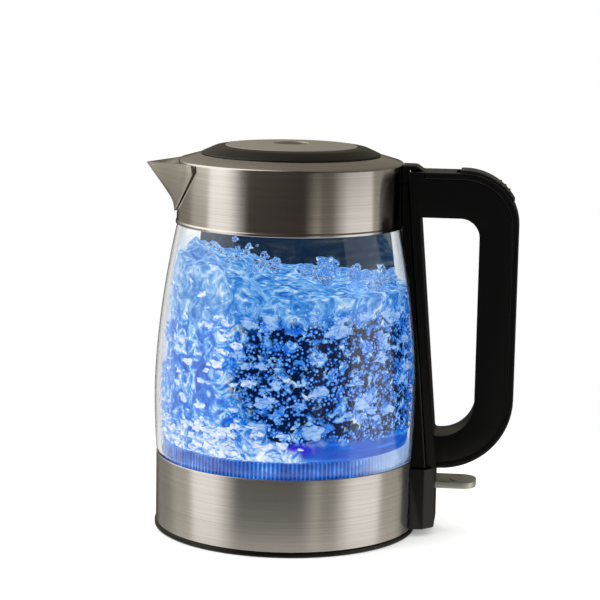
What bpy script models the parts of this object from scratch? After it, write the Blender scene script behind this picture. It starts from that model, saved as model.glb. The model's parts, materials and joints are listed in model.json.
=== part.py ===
"""Cordless electric glass kettle: jug, lid with hinge and latch, handle, switch and heating base.

Frame: metres, +Z up, origin on the jug's axis at the surface it stands on.
The handle points along +X, the spout along -X, and the lid's and the switch's axes lie along Y.
"""

import math

import bmesh
import bpy
from mathutils import Matrix, Vector

# ---------------------------------------------------------------- driving dimensions
GAP = 0.0003                    # between pieces that touch
RUNNING = 0.00006               # radial clearance of a pin in its bore
ROUND = 40                      # steps of the large turned pieces
ROUND_SMALL = 24                # steps of small and hidden turned pieces

# jug: radii and heights of what shows
BASE_LIP = 0.0030               # height of the base moulding below the band
BAND_RADIUS = 0.0766
BAND_HEIGHT = 0.0415
SHEET = 0.0008                  # steel sheet of band and collar
GLASS_SHOWN = 0.1346            # height of bare glass between band and collar
GLASS_WALL = 0.0025
GLASS_BULGE = 0.0012            # of the glass's widest point beyond the band
GLASS_WIDEST_RISE = 0.0355      # of the widest point above the band
GLASS_TAPER = 1.75              # exponent of the glass's inward curve
GLASS_TUCK = 0.0050             # length of glass hidden in the collar
GLASS_FOOT = 0.0070             # length of glass hidden in the band
GLASS_FOOT_ROUND = 0.0030       # height over which the glass steps in above the band
COLLAR_HEIGHT = 0.0369
COLLAR_DRAW_IN = 0.0114         # how much narrower the collar is than the band, at the shoulder's edge
COLLAR_FLARE = 0.0008           # how much wider the collar's wall is at its foot
LIP_HEIGHT = 0.0019
LIP_PROUD = 0.0005
SHOULDER_RISE = 0.0036
MOUTH_RADIUS = 0.0495           # opening in the shoulder
LID_RADIUS = 0.0519
LID_STEP = 0.0007               # how far the mouth's edge lies below the shoulder's inner edge

# lid
LID_RISE = 0.0052               # of the lid ring's inner edge above its outer edge
LID_BREAK_RADIUS = 0.0440       # where the lid ring turns from its top to its flank
LID_EDGE = 0.0009               # height of the lid ring's outer edge
DISC_RADIUS = 0.0383
DISC_CROWN = 0.0014
DISC_SHEET = 0.0010
BADGE_RADIUS = 0.0100
SKIRT_DEPTH = 0.0110

# hinge of the lid, hidden under the shoulder behind the mouth
HINGE_BEHIND_MOUTH = 0.0055
HINGE_BELOW_MOUTH = 0.0054
HINGE_PIN_RADIUS = 0.0015
BARREL_RADIUS = 0.0032
ARM_HALF_WIDTH = 0.0038
ARM_INNER = 0.0093              # the goose-neck's arc passes round the mouth's edge
ARM_OUTER = 0.0123
CATCH_REACH = 0.0064
SPRING_BAY = 0.0028             # room for the lid's spring beside the barrel

# spout
SPOUT_REACH = 0.0205            # of the tip beyond the collar
SPOUT_FOOT_RISE = 0.0055        # of the spout's foot above the collar's foot
SPOUT_TIP_DROP = 0.0038         # of the tip below the shoulder's edge
SPOUT_SPREAD = math.radians(43)
SPOUT_SHEET = 0.0008
SPOUT_HOLE_TOP = 0.0280         # half width of the pouring hole at its top
SPOUT_HOLE_FOOT = 0.0070

# handle
HANDLE_HALF_WIDTH = 0.0140
HANDLE_REACH = 0.0561           # of the grip's outer face beyond the band
HANDLE_TOP_DROP = 0.0037        # of the handle's top below the shoulder's edge
HANDLE_FOOT = 0.0402
HANDLE_STAND_TOP = 0.0036       # of the handle's back face beyond the collar, at the top
HANDLE_STAND_FOOT = 0.0074      # and beyond the band, at the foot
GRIP_DEPTH = 0.0224
ARM_DEPTH = 0.0258
FOOT_ARM_DEPTH = 0.0191
COLUMN_DEPTH = 0.0050           # of the handle's upright beside the jug
CORNER_TOP = 0.0320
CORNER_FOOT = 0.0420
WINDOW_CORNER_TOP = 0.0110
WINDOW_CORNER_FOOT = 0.0200
WINDOW_CORNER_BACK = 0.0015
COVER_THICKNESS = 0.0040
COVER_START_RUN = 0.0093        # of bare shell on the top arm, before the cover starts
COVER_END_RUN = 0.0010          # of straight cover on the lower arm
SHELL_WALL = 0.0030
BUTTON_PROUD = 0.0014
BUTTON_THICKNESS = 0.0042
BUTTON_SIDE = 0.0045            # of the cover beside the button
BUTTON_START = math.radians(94)
BUTTON_END = math.radians(30)
BUTTON_SWEEP_GAP = math.radians(4.5)
BUTTON_PIN_INSET = 0.0068       # of the button's pin below its outer face
BUTTON_PIN_RADIUS = 0.0011
BUTTON_BOSS_RADIUS = 0.0034
LATCH_TRAVEL = 0.0028
LATCH_HALF_WIDTH = 0.0040
LATCH_THICKNESS = 0.0030
LATCH_RAMP = 0.0011             # of the ramp under the button's post
POST_IN = 0.0045                # of the button's post beyond its corner's centre
POST_DEPTH = 0.0035
LATCH_ROOM = 0.0006             # round the latch in the windows it passes
DUCT_HALF_WIDTH = 0.0070        # of the steam duct in the handle's upright
DUCT_DEPTH = 0.0034
STEAM_TUBE_RADIUS = 0.0013

# spine and switch housing
SPINE_HALF_TOP = 0.0080
SPINE_HALF_FOOT = 0.0180
CAP_HALF_WIDTH = 0.0090
CAP_RISE = 0.0033               # of the cap above the handle
HOUSING_HALF_WIDTH = 0.0190
HOUSING_DEPTH = 0.0124          # of the housing beyond the band
HOUSING_FOOT = 0.0040
HOUSING_WALL = 0.0025
LEVER_HEIGHT = 0.0295
LEVER_THICKNESS = 0.0040
LEVER_HALF_WIDTH = 0.0110
LEVER_REACH = 0.0360            # of the lever's end beyond the band
LEVER_PIN_OUT = 0.0054          # of the lever's pin beyond the band
LEVER_PIN_RADIUS = 0.0014
LEVER_TRAVEL = math.radians(12)

# base
BASE_FLOOR = 0.0060
BASE_WALL = 0.0022
BASE_HOLE = 0.0235
SOCKET_HEIGHT = 0.0150
CONTROL_HEIGHT = 0.0090
BASE_WALL_HEIGHT = 0.0130       # of the base moulding's upright wall inside the band
BASE_FOOT_WIDTH = 0.0067        # of the ring that the jug stands on
PLATE_ROOM = 0.0010             # round the heating plate, inside the glass
PLATE_SHEET = 0.0010
DIFFUSER_RADIUS = 0.0520
DIFFUSER_THICKNESS = 0.0024
ELEMENT_RADIUS = 0.0400
ELEMENT_TUBE = 0.0032
LIGHT_RING_HEIGHT = 0.0115
LIGHT_RING_WALL = 0.0028
LIGHT_RIBS = 60
SEAL_THICKNESS = 0.0026
LID_SEAL_ROOM = 0.0010          # round the lid's seal in the neck, for the lid's swing
SCREW_RADIUS = 0.0015
SCREW_HEAD = 0.0029
BASE_SCREWS = 3
SCREW_INSET = 0.0098            # of the base screws' circle inside the band

# ---------------------------------------------------------------- sizes that follow
COLLAR_RADIUS = BAND_RADIUS - COLLAR_DRAW_IN
BAND_TOP = BASE_LIP + BAND_HEIGHT
COLLAR_FOOT = BAND_TOP + GLASS_SHOWN
SHOULDER_EDGE = COLLAR_FOOT + COLLAR_HEIGHT
SHOULDER_TOP = SHOULDER_EDGE + SHOULDER_RISE
MOUTH_EDGE = SHOULDER_TOP - LID_STEP
BAND_INSIDE = BAND_RADIUS - SHEET
GLASS_TOP = COLLAR_FOOT + GLASS_TUCK
GLASS_BOTTOM = BAND_TOP - GLASS_FOOT
GLASS_FOOT_RADIUS = BAND_INSIDE - GAP
GLASS_WIDEST_RADIUS = BAND_RADIUS + GLASS_BULGE
PLATE_RADIUS = GLASS_FOOT_RADIUS - GLASS_WALL - PLATE_ROOM
BASE_SCREW_CIRCLE = BAND_INSIDE - SCREW_INSET
GLASS_WIDEST = BAND_TOP + GLASS_WIDEST_RISE
COLLAR_FOOT_RADIUS = COLLAR_RADIUS + COLLAR_FLARE
GLASS_NECK_RADIUS = COLLAR_FOOT_RADIUS - SHEET - 2 * GAP - 0.0002
LID_FOOT = MOUTH_EDGE + 0.0005
LINER_OUTSIDE = COLLAR_RADIUS - SHEET - GAP
LINER_WALL = 0.0018
NECK_OUTSIDE = MOUTH_RADIUS - 0.0001
NECK_INSIDE = NECK_OUTSIDE - LINER_WALL
NECK_FOOT = MOUTH_EDGE - 0.0119
ROOF_UNDERSIDE = MOUTH_EDGE - SHEET - GAP - LINER_WALL
SKIRT_RADIUS = MOUTH_RADIUS - 0.0060
HINGE_X = MOUTH_RADIUS + HINGE_BEHIND_MOUTH
HINGE_Z = MOUTH_EDGE - HINGE_BELOW_MOUTH
GRIP_FACE = BAND_RADIUS + HANDLE_REACH
HANDLE_TOP = SHOULDER_EDGE - HANDLE_TOP_DROP
HANDLE_BACK_TOP = COLLAR_RADIUS + HANDLE_STAND_TOP
HANDLE_BACK_FOOT = BAND_RADIUS + HANDLE_STAND_FOOT
BUTTON_HALF_WIDTH = HANDLE_HALF_WIDTH - BUTTON_SIDE
CORNER_X = GRIP_FACE - CORNER_TOP
CORNER_Z = HANDLE_TOP - CORNER_TOP
POST_X = CORNER_X + POST_IN
COVER_START = HANDLE_BACK_TOP + COVER_START_RUN
COVER_END = GRIP_FACE - CORNER_FOOT - COVER_END_RUN
PLATE_TOP = BAND_TOP - 0.0032
PLATE_UNDER = PLATE_TOP - PLATE_SHEET
DIFFUSER_UNDER = PLATE_UNDER - GAP - DIFFUSER_THICKNESS
LEVER_PIN_X = BAND_RADIUS + LEVER_PIN_OUT
HOUSING_FACE = BAND_RADIUS + HOUSING_DEPTH
HOUSING_TOP = HANDLE_FOOT - GAP
LATCH_NOSE_X = HINGE_X + CATCH_REACH + 0.0004
LATCH_NOSE_TOP = HINGE_Z - 0.0015
LATCH_ROD_TOP = HANDLE_TOP - COVER_THICKNESS - 0.0023
LATCH_ROD_FOOT = LATCH_ROD_TOP - LATCH_THICKNESS


# ---------------------------------------------------------------- scene and materials
def clear_scene():
    for obj in list(bpy.data.objects):
        bpy.data.objects.remove(obj, do_unlink=True)


def collection(name):
    made = bpy.data.collections.new(name)
    bpy.context.scene.collection.children.link(made)
    return made


def material(name, colour, roughness, metallic=0.0, alpha=1.0):
    made = bpy.data.materials.new(name)
    made.use_nodes = True
    shader = made.node_tree.nodes["Principled BSDF"]
    shader.inputs["Base Color"].default_value = (*colour, 1.0)
    shader.inputs["Roughness"].default_value = roughness
    shader.inputs["Metallic"].default_value = metallic
    shader.inputs["Alpha"].default_value = alpha
    made.diffuse_color = (*colour, alpha)
    return made


clear_scene()
PARTS = collection("electric_kettle")
CUTTERS = collection("cutters")

BRUSHED = ("brushed_steel", (0.55, 0.53, 0.50), 0.32, 1.0)
SATIN = ("satin_steel", (0.50, 0.49, 0.47), 0.40, 1.0)
BLACK = ("black_polypropylene", (0.012, 0.012, 0.013), 0.35)
DARK = ("dark_nylon", (0.03, 0.03, 0.032), 0.55)
GLASS = ("borosilicate_glass", (0.85, 0.92, 0.95), 0.03, 0.0, 0.3)
SILICONE = ("silicone", (0.75, 0.75, 0.72), 0.6)
LIGHT = ("light_guide", (0.35, 0.55, 0.95), 0.2, 0.0, 0.6)
ALUMINIUM = ("aluminium", (0.70, 0.70, 0.71), 0.45, 1.0)
BRASS = ("brass", (0.72, 0.53, 0.22), 0.35, 1.0)
BOARD = ("circuit_board", (0.02, 0.16, 0.07), 0.5)
SPRING = ("spring_steel", (0.45, 0.45, 0.46), 0.35, 1.0)
WIRE = ("wire_insulation", (0.65, 0.08, 0.05), 0.5)


# ---------------------------------------------------------------- helpers
def finish(obj, look, cutter=False):
    """Puts the object in its collection; a part gets a material of its own."""
    for owner in list(obj.users_collection):
        owner.objects.unlink(obj)
    if cutter:
        CUTTERS.objects.link(obj)
        obj.hide_render = True
        obj.display_type = "WIRE"
        return obj
    PARTS.objects.link(obj)
    name, colour, roughness, *rest = look
    obj.data.materials.clear()
    obj.data.materials.append(material(f"{obj.name}_{name}", colour, roughness, *rest))
    return obj


def object_of(name, bm, look=None, smooth=False):
    mesh = bpy.data.meshes.new(name)
    bm.to_mesh(mesh)
    bm.free()
    obj = bpy.data.objects.new(name, mesh)
    bpy.context.scene.collection.objects.link(obj)
    if smooth:
        mesh.shade_smooth()
    return finish(obj, look, cutter=look is None)


def turned(name, profile, look=None, steps=ROUND, solid=False):
    """Turns (radius, height) points round Z. The points run down the outer side, top to bottom.

    A ring's profile is a closed loop; a solid's starts and ends on the axis.
    """
    bm = bmesh.new()
    verts = [bm.verts.new((radius, 0.0, height)) for radius, height in profile]
    for a, b in zip(verts, verts[1:]):
        bm.edges.new((a, b))
    if not solid:
        bm.edges.new((verts[-1], verts[0]))
    obj = object_of(name, bm, look)
    screw = obj.modifiers.new("Turn", "SCREW")
    screw.steps = steps
    screw.render_steps = steps
    screw.use_merge_vertices = True
    screw.merge_threshold = 0.00001
    screw.use_smooth_shade = True
    return obj


def box(name, low, high, look=None):
    bm = bmesh.new()
    bmesh.ops.create_cube(bm, size=1.0)
    low, high = Vector(low), Vector(high)
    size = high - low
    for vert in bm.verts:
        vert.co = Vector((vert.co[i] * size[i] for i in range(3))) + (low + high) / 2
    return object_of(name, bm, look)


def cylinder(name, radius, start, end, look=None, steps=ROUND_SMALL, end_radius=None):
    """A rod between two points."""
    start, end = Vector(start), Vector(end)
    run = end - start
    bm = bmesh.new()
    bmesh.ops.create_cone(
        bm,
        cap_ends=True,
        segments=steps,
        radius1=radius,
        radius2=radius if end_radius is None else end_radius,
        depth=run.length,
    )
    turn = Vector((0, 0, 1)).rotation_difference(run).to_matrix().to_4x4()
    bmesh.ops.transform(bm, matrix=Matrix.Translation((start + end) / 2) @ turn, verts=bm.verts)
    return object_of(name, bm, look)


def arc(centre, radius, start, end, steps):
    """Points along an arc, angles in radians from +X towards +Z."""
    return [
        (
            centre[0] + radius * math.cos(start + (end - start) * i / steps),
            centre[1] + radius * math.sin(start + (end - start) * i / steps),
        )
        for i in range(steps + 1)
    ]


def rounded(corners, steps=8):
    """An outline from (x, z, radius) corners, each rounded by an arc."""
    outline = []
    for i, (x, z, radius) in enumerate(corners):
        here = Vector((x, z))
        before = Vector(corners[i - 1][:2]) - here
        after = Vector(corners[(i + 1) % len(corners)][:2]) - here
        if radius <= 0:
            outline.append((x, z))
            continue
        half = before.angle(after) / 2
        reach = radius / math.tan(half)
        first = here + before.normalized() * reach
        last = here + after.normalized() * reach
        centre = here + (before.normalized() + after.normalized()).normalized() * (radius / math.sin(half))
        sweep = -(first - centre).angle_signed(last - centre)
        for k in range(steps + 1):
            turn = Matrix.Rotation(sweep * k / steps, 2)
            outline.append(tuple(centre + turn @ (first - centre)))
    return outline


def slab(name, outlines, half_width, look=None, along="Y", centre=0.0):
    """A flat outline, the first of a list with any holes after it, extruded both ways.

    Along Y the outline is in (x, z), along X in (y, z) and along Z in (x, y).
    """
    curve = bpy.data.curves.new(name + "_outline", "CURVE")
    curve.dimensions = "2D"
    curve.fill_mode = "BOTH"
    curve.extrude = half_width
    for outline in outlines:
        spline = curve.splines.new("POLY")
        spline.points.add(len(outline) - 1)
        for point, (a, b) in zip(spline.points, outline):
            point.co = (a, b, 0.0, 1.0)
        spline.use_cyclic_u = True
    guide = bpy.data.objects.new(name + "_outline", curve)
    bpy.context.scene.collection.objects.link(guide)
    if along == "Y":
        guide.matrix_world = Matrix.Translation((0, centre, 0)) @ Matrix.Rotation(math.radians(90), 4, "X")
    elif along == "X":
        upright = Matrix.Rotation(math.radians(90), 4, "Z") @ Matrix.Rotation(math.radians(90), 4, "X")
        guide.matrix_world = Matrix.Translation((centre, 0, 0)) @ upright
    else:
        guide.matrix_world = Matrix.Translation((0, 0, centre))
    return meshed(guide, name, look)


def meshed(guide, name, look):
    """Replaces a curve object by the mesh it makes, its caps welded."""
    bpy.context.view_layer.update()
    graph = bpy.context.evaluated_depsgraph_get()
    mesh = bpy.data.meshes.new_from_object(guide.evaluated_get(graph))
    mesh.transform(guide.matrix_world)
    bpy.data.objects.remove(guide, do_unlink=True)
    bm = bmesh.new()
    bm.from_mesh(mesh)
    bpy.data.meshes.remove(mesh)
    bmesh.ops.remove_doubles(bm, verts=bm.verts, dist=0.00001)
    bmesh.ops.recalc_face_normals(bm, faces=bm.faces)
    return object_of(name, bm, look)


def wire(name, points, radius, look, resolution=2, cyclic=False):
    """A round tube or wire along points, its ends capped."""
    curve = bpy.data.curves.new(name + "_path", "CURVE")
    curve.dimensions = "3D"
    curve.bevel_depth = radius
    curve.bevel_resolution = resolution
    curve.use_fill_caps = True
    spline = curve.splines.new("POLY")
    spline.points.add(len(points) - 1)
    for point, place in zip(spline.points, points):
        point.co = (*place, 1.0)
    spline.use_cyclic_u = cyclic
    guide = bpy.data.objects.new(name + "_path", curve)
    bpy.context.scene.collection.objects.link(guide)
    return meshed(guide, name, look)


def boolean(obj, other, operation="DIFFERENCE"):
    modifier = obj.modifiers.new(other.name[:40], "BOOLEAN")
    modifier.object = other
    modifier.operation = operation
    modifier.solver = "EXACT"
    return obj


def cut(others, *objects):
    """Cuts one cutter, or each of a list, from every object named."""
    for other in others if isinstance(others, list) else [others]:
        for obj in objects:
            boolean(obj, other)


def wall(outer, thickness):
    """A ring's profile from its outer points: down the outside and back up the inside."""
    return outer + [(radius - thickness, height) for radius, height in reversed(outer)]


# ---------------------------------------------------------------- jug
def glass_radius(height):
    """The glass's outer radius: widest a little above the band and drawn in towards the collar."""
    if height >= GLASS_WIDEST:
        share = (height - GLASS_WIDEST) / (GLASS_TOP - GLASS_WIDEST)
        return GLASS_WIDEST_RADIUS - (GLASS_WIDEST_RADIUS - GLASS_NECK_RADIUS) * share**GLASS_TAPER
    share = (GLASS_WIDEST - height) / (GLASS_WIDEST - BAND_TOP)
    return GLASS_WIDEST_RADIUS - (GLASS_WIDEST_RADIUS - BAND_RADIUS) * share**2


def jug_outline(grow):
    """Outer profile of band, glass and collar, grown outwards, down to below the base."""
    levels = 9
    start = BAND_TOP + GLASS_FOOT_ROUND
    glass = []
    for i in range(levels + 1):
        height = COLLAR_FOOT + (start - COLLAR_FOOT) * i / levels
        glass.append((glass_radius(height) + grow, height))
    lip = COLLAR_FOOT_RADIUS + LIP_PROUD + grow
    return [
        (COLLAR_RADIUS + grow, SHOULDER_EDGE + 0.02),
        (COLLAR_RADIUS + grow, SHOULDER_EDGE),
        (COLLAR_FOOT_RADIUS + grow, COLLAR_FOOT + LIP_HEIGHT + grow),
        (lip, COLLAR_FOOT + LIP_HEIGHT + grow),
        (lip, COLLAR_FOOT - grow),
        *glass[1:],
        (BAND_RADIUS + grow, BAND_TOP + 2 * grow),
        (BAND_RADIUS + grow, BASE_LIP),
        (BAND_RADIUS + 0.0006 + grow, BASE_LIP),
        (BAND_RADIUS + 0.0006 + grow, -0.01),
    ]


def glass_jug():
    levels = 7
    start = BAND_TOP + GLASS_FOOT_ROUND
    outer = []
    for i in range(levels + 1):
        height = GLASS_TOP + (start - GLASS_TOP) * i / levels
        outer.append((glass_radius(height), height))
    step = (glass_radius(start) + GLASS_FOOT_RADIUS) / 2
    outer.append((step, BAND_TOP + GLASS_FOOT_ROUND * 0.4))
    outer.append((GLASS_FOOT_RADIUS, BAND_TOP + GAP))
    outer.append((GLASS_FOOT_RADIUS, GLASS_BOTTOM))
    return turned("glass_jug", wall(outer, GLASS_WALL), GLASS)


def lower_band():
    edge = 0.0005
    outer = [
        (BAND_RADIUS - edge, BAND_TOP),
        (BAND_RADIUS, BAND_TOP - edge),
        (BAND_RADIUS, BASE_LIP),
    ]
    inner = [(BAND_INSIDE, BASE_LIP), (BAND_INSIDE, BAND_TOP)]
    return turned("lower_band", outer + inner, BRUSHED)


def collar():
    """Wall, rolled lip at its foot and conical shoulder up to the mouth, in one sheet."""
    lip = COLLAR_FOOT_RADIUS + LIP_PROUD
    seat = LID_RADIUS + 2 * GAP
    outer = [
        (MOUTH_RADIUS, MOUTH_EDGE),
        (seat, MOUTH_EDGE),
        (seat + 0.0004, SHOULDER_TOP),
        (COLLAR_RADIUS - 0.0006, SHOULDER_EDGE + 0.0002),
        (COLLAR_RADIUS, SHOULDER_EDGE - 0.0004),
        (COLLAR_FOOT_RADIUS, COLLAR_FOOT + LIP_HEIGHT),
        (lip, COLLAR_FOOT + LIP_HEIGHT * 0.7),
        (lip, COLLAR_FOOT),
    ]
    inner = [
        (lip - SHEET + 0.0001, COLLAR_FOOT),
        (COLLAR_FOOT_RADIUS - SHEET, COLLAR_FOOT + LIP_HEIGHT),
        (COLLAR_RADIUS - SHEET, SHOULDER_EDGE - SHEET),
        (seat, MOUTH_EDGE - SHEET),
        (MOUTH_RADIUS, MOUTH_EDGE - SHEET),
    ]
    return turned("collar", outer + inner, BRUSHED)


def collar_liner():
    """Inner moulding: foot on the glass's seal, wall inside the collar, roof and neck of the mouth."""
    foot = GLASS_TOP + GAP + 0.0020 + GAP
    roof_edge = SHOULDER_EDGE - SHEET - GAP - 0.0006
    outer = [
        (NECK_OUTSIDE, ROOF_UNDERSIDE + LINER_WALL),
        (LID_RADIUS, ROOF_UNDERSIDE + LINER_WALL),
        (LINER_OUTSIDE, roof_edge),
        (LINER_OUTSIDE, foot),
    ]
    inner = [
        (LINER_OUTSIDE - 0.0032, foot),
        (LINER_OUTSIDE - 0.0032, foot + LINER_WALL),
        (LINER_OUTSIDE - LINER_WALL, foot + LINER_WALL + 0.0012),
        (LINER_OUTSIDE - LINER_WALL, roof_edge - LINER_WALL),
        (LID_RADIUS, ROOF_UNDERSIDE),
        (NECK_OUTSIDE, ROOF_UNDERSIDE),
        (NECK_OUTSIDE, NECK_FOOT),
        (NECK_INSIDE, NECK_FOOT),
        (NECK_INSIDE, ROOF_UNDERSIDE + LINER_WALL),
    ]
    return turned("collar_liner", outer + inner, DARK)


def glass_top_seal():
    top = GLASS_TOP + GAP + 0.0020
    outside = GLASS_NECK_RADIUS - 0.0001
    profile = [
        (outside, top),
        (outside, GLASS_TOP + GAP),
        (outside - 0.0030, GLASS_TOP + GAP),
        (outside - 0.0030, top),
    ]
    return turned("glass_top_seal", profile, SILICONE, steps=32)


def spout_hole(name, margin):
    """The pouring hole, wide at its top, cut through the wall on the spout's side."""
    foot = COLLAR_FOOT + SPOUT_FOOT_RISE + 0.0035 + margin
    top = SHOULDER_EDGE - 0.0035 - margin
    half_top = SPOUT_HOLE_TOP - margin
    half_foot = SPOUT_HOLE_FOOT - margin / 2
    outline = [(-half_foot, foot), (half_foot, foot), (half_top, top), (-half_top, top)]
    centre = -COLLAR_RADIUS
    return slab(name, [outline], 0.014, along="X", centre=centre)


def spout():
    """Two flanks ruled from a seam on the collar to the keel, with a short flange along the seam."""
    seat = COLLAR_RADIUS + COLLAR_FLARE + GAP + SPOUT_SHEET
    foot = COLLAR_FOOT + SPOUT_FOOT_RISE
    rim = SHOULDER_EDGE - 0.0007
    tip = (-(COLLAR_RADIUS + SPOUT_REACH), SHOULDER_EDGE - SPOUT_TIP_DROP)
    keel_foot = (-(seat + 0.0010), foot + 0.0050)
    rows = 12
    shares = (0.0, 0.10, 0.22, 0.6, 1.0)
    bm = bmesh.new()
    grid = []
    for side in (-1, 1):
        for row in range(rows + 1):
            rise = row / rows
            spread = SPOUT_SPREAD * rise**0.45
            spread -= math.radians(4) * max(0.0, rise - 0.85) / 0.15
            height = foot + (rim - foot) * rise
            keel = Vector((
                keel_foot[0] + (tip[0] - keel_foot[0]) * rise,
                0.0,
                keel_foot[1] + (tip[1] - keel_foot[1]) * rise,
            ))
            line = []
            for share in shares:
                if share <= 0.10:
                    turn = spread * (1 - share)
                    radius = seat + share * 0.003
                    place = Vector((-radius * math.cos(turn), side * radius * math.sin(turn), height))
                    edge = place
                else:
                    place = edge.lerp(keel, (share - 0.10) / 0.90)
                line.append(place)
            grid.append((side, line))
    made = {}

    def vert(place):
        key = tuple(round(value, 6) for value in place)
        if key not in made:
            made[key] = bm.verts.new(place)
        return made[key]

    for side in (-1, 1):
        lines = [line for s, line in grid if s == side]
        for low, high in zip(lines, lines[1:]):
            for k in range(len(shares) - 1):
                corners = [low[k], low[k + 1], high[k + 1], high[k]]
                face = []
                for place in corners:
                    found = vert(place)
                    if found not in face:
                        face.append(found)
                if len(face) >= 3:
                    bm.faces.new(face if side < 0 else list(reversed(face)))
    bmesh.ops.recalc_face_normals(bm, faces=bm.faces)
    front = max(bm.faces, key=lambda face: face.calc_area())
    if front.normal.y * front.calc_center_median().y < 0:
        bmesh.ops.reverse_faces(bm, faces=bm.faces)
    obj = object_of("spout", bm, BRUSHED)
    solidify = obj.modifiers.new("Sheet", "SOLIDIFY")
    solidify.thickness = SPOUT_SHEET
    solidify.offset = -1.0
    return obj


def filter_piece(name, radius, thickness, half_width, foot, top, look):
    """A curved panel on the jug's axis, on the spout's side."""
    profile = [(radius, top), (radius, foot), (radius - thickness, foot), (radius - thickness, top)]
    obj = turned(name, profile, look, steps=64)
    reach = 2 * radius
    window = box(name + "_extent", (-reach, -half_width, foot - 0.01), (0, half_width, top + 0.01))
    return boolean(obj, window, "INTERSECT")


def spout_filter():
    outside = LINER_OUTSIDE - LINER_WALL - GAP - 0.0006
    foot = GLASS_TOP + 0.0080
    top = NECK_FOOT - 0.0030
    half = 0.0190
    rim = 0.0028
    frame = filter_piece("filter_frame", outside, 0.0020, half, foot, top, DARK)
    opening = box(
        "filter_opening",
        (-2 * outside, -half + rim, foot + rim),
        (0, half - rim, top - rim),
    )
    cut(opening, frame)
    mesh_half = half - rim - GAP
    filter_piece(
        "filter_mesh",
        outside - 0.0007,
        0.0005,
        mesh_half,
        foot + rim + GAP,
        top - rim - GAP,
        SPRING,
    )


# ---------------------------------------------------------------- lid
def lid_ring():
    top = LID_FOOT + LID_RISE
    inside = DISC_RADIUS + GAP
    seat = inside - 0.0040
    profile = [
        (inside, top),
        (LID_BREAK_RADIUS, top - 0.0008),
        (LID_RADIUS, LID_FOOT + LID_EDGE),
        (LID_RADIUS, LID_FOOT),
        (MOUTH_RADIUS - 0.0030, LID_FOOT),
        (MOUTH_RADIUS - 0.0032, LID_FOOT + 0.0012),
        (seat, LID_FOOT + 0.0020),
        (seat, top - DISC_SHEET - GAP),
        (inside, top - DISC_SHEET - GAP),
    ]
    return turned("lid_ring", profile, BLACK)


def disc_height(radius):
    return LID_FOOT + LID_RISE + DISC_CROWN * (1 - (radius / DISC_RADIUS) ** 2)


def lid_disc():
    inside = BADGE_RADIUS + GAP
    outer = [(radius, disc_height(radius)) for radius in (inside, 0.024, DISC_RADIUS)]
    inner = [(radius, height - DISC_SHEET) for radius, height in reversed(outer)]
    return turned("lid_disc", outer + inner, SATIN)


def lid_badge():
    top = disc_height(BADGE_RADIUS) - 0.0005
    profile = [
        (0.0, top - 0.0004),
        (BADGE_RADIUS * 0.8, top - 0.0002),
        (BADGE_RADIUS, top),
        (BADGE_RADIUS, top - 0.0012),
        (0.0, top - 0.0014),
    ]
    return turned("lid_badge", profile, DARK, steps=ROUND_SMALL, solid=True)


def lid_skirt():
    top = LID_FOOT + 0.0008
    foot = LID_FOOT - SKIRT_DEPTH
    outside = SKIRT_RADIUS
    rim = MOUTH_RADIUS - 0.0033
    profile = [
        (rim, top),
        (rim, top - 0.0020),
        (outside, top - 0.0040),
        (outside - 0.0004, foot),
        (outside - 0.0046, foot),
        (outside - 0.0046, foot + 0.0010),
        (outside - 0.0024, foot + 0.0010),
        (outside - 0.0024, top),
    ]
    return turned("lid_skirt", profile, DARK, steps=ROUND)


def lid_inner_plate():
    foot = LID_FOOT - SKIRT_DEPTH + 0.0010 + GAP
    outside = SKIRT_RADIUS - 0.0024 - GAP
    profile = [(0.0, foot + 0.0008), (outside, foot + 0.0008), (outside, foot), (0.0, foot)]
    return turned("lid_inner_plate", profile, SATIN, steps=32, solid=True)


def lid_seal():
    middle = LID_FOOT - 0.0070
    inside = SKIRT_RADIUS + GAP
    outside = NECK_INSIDE - LID_SEAL_ROOM
    profile = [
        (outside, middle + 0.0004),
        (outside, middle - 0.0004),
        (inside, middle - 0.0011),
        (inside, middle + 0.0011),
    ]
    return turned("lid_seal", profile, SILICONE, steps=ROUND)


def polar(radius, degrees):
    angle = math.radians(degrees)
    return (HINGE_X + radius * math.cos(angle), HINGE_Z + radius * math.sin(angle))


def lid_arm(pin_bore):
    """Goose-neck: barrel on the pin, spoke, arc round the mouth's edge and a foot under the lid."""
    root_top = LID_FOOT + 0.0007
    foot_x = MOUTH_RADIUS - 0.0038
    outline = [
        (HINGE_X + CATCH_REACH, HINGE_Z + 0.0010),
        (HINGE_X + CATCH_REACH, HINGE_Z - 0.0012),
    ]
    outline += arc((HINGE_X, HINGE_Z), BARREL_RADIUS, math.radians(-24), math.radians(-108), 4)
    outline += arc((HINGE_X, HINGE_Z), ARM_OUTER, math.radians(241), math.radians(162), 7)
    outline += [(foot_x - 0.0036, root_top), (foot_x, root_top)]
    outline += arc((HINGE_X, HINGE_Z), ARM_INNER, math.radians(152), math.radians(222), 6)
    outline += arc((HINGE_X, HINGE_Z), BARREL_RADIUS, math.radians(205), math.radians(22), 9)
    obj = slab("lid_arm", [outline], ARM_HALF_WIDTH, DARK)
    cut(pin_bore, obj)
    return obj


def hinge_bracket(pin_bore):
    """Two ears joined by a plate below the goose-neck's sweep."""
    inside = ARM_HALF_WIDTH + SPRING_BAY
    outside = inside + 0.0020
    top = HINGE_Z + 0.0021
    foot = HINGE_Z - 0.0109
    outline = [
        (-outside, top),
        (-inside, top),
        (-inside, foot + 0.0016),
        (inside, foot + 0.0016),
        (inside, top),
        (outside, top),
        (outside, foot),
        (-outside, foot),
    ]
    centre = HINGE_X + 0.0008
    obj = slab("hinge_bracket", [outline], 0.0042, DARK, along="X", centre=centre)
    cut(pin_bore, obj)
    return obj


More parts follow.
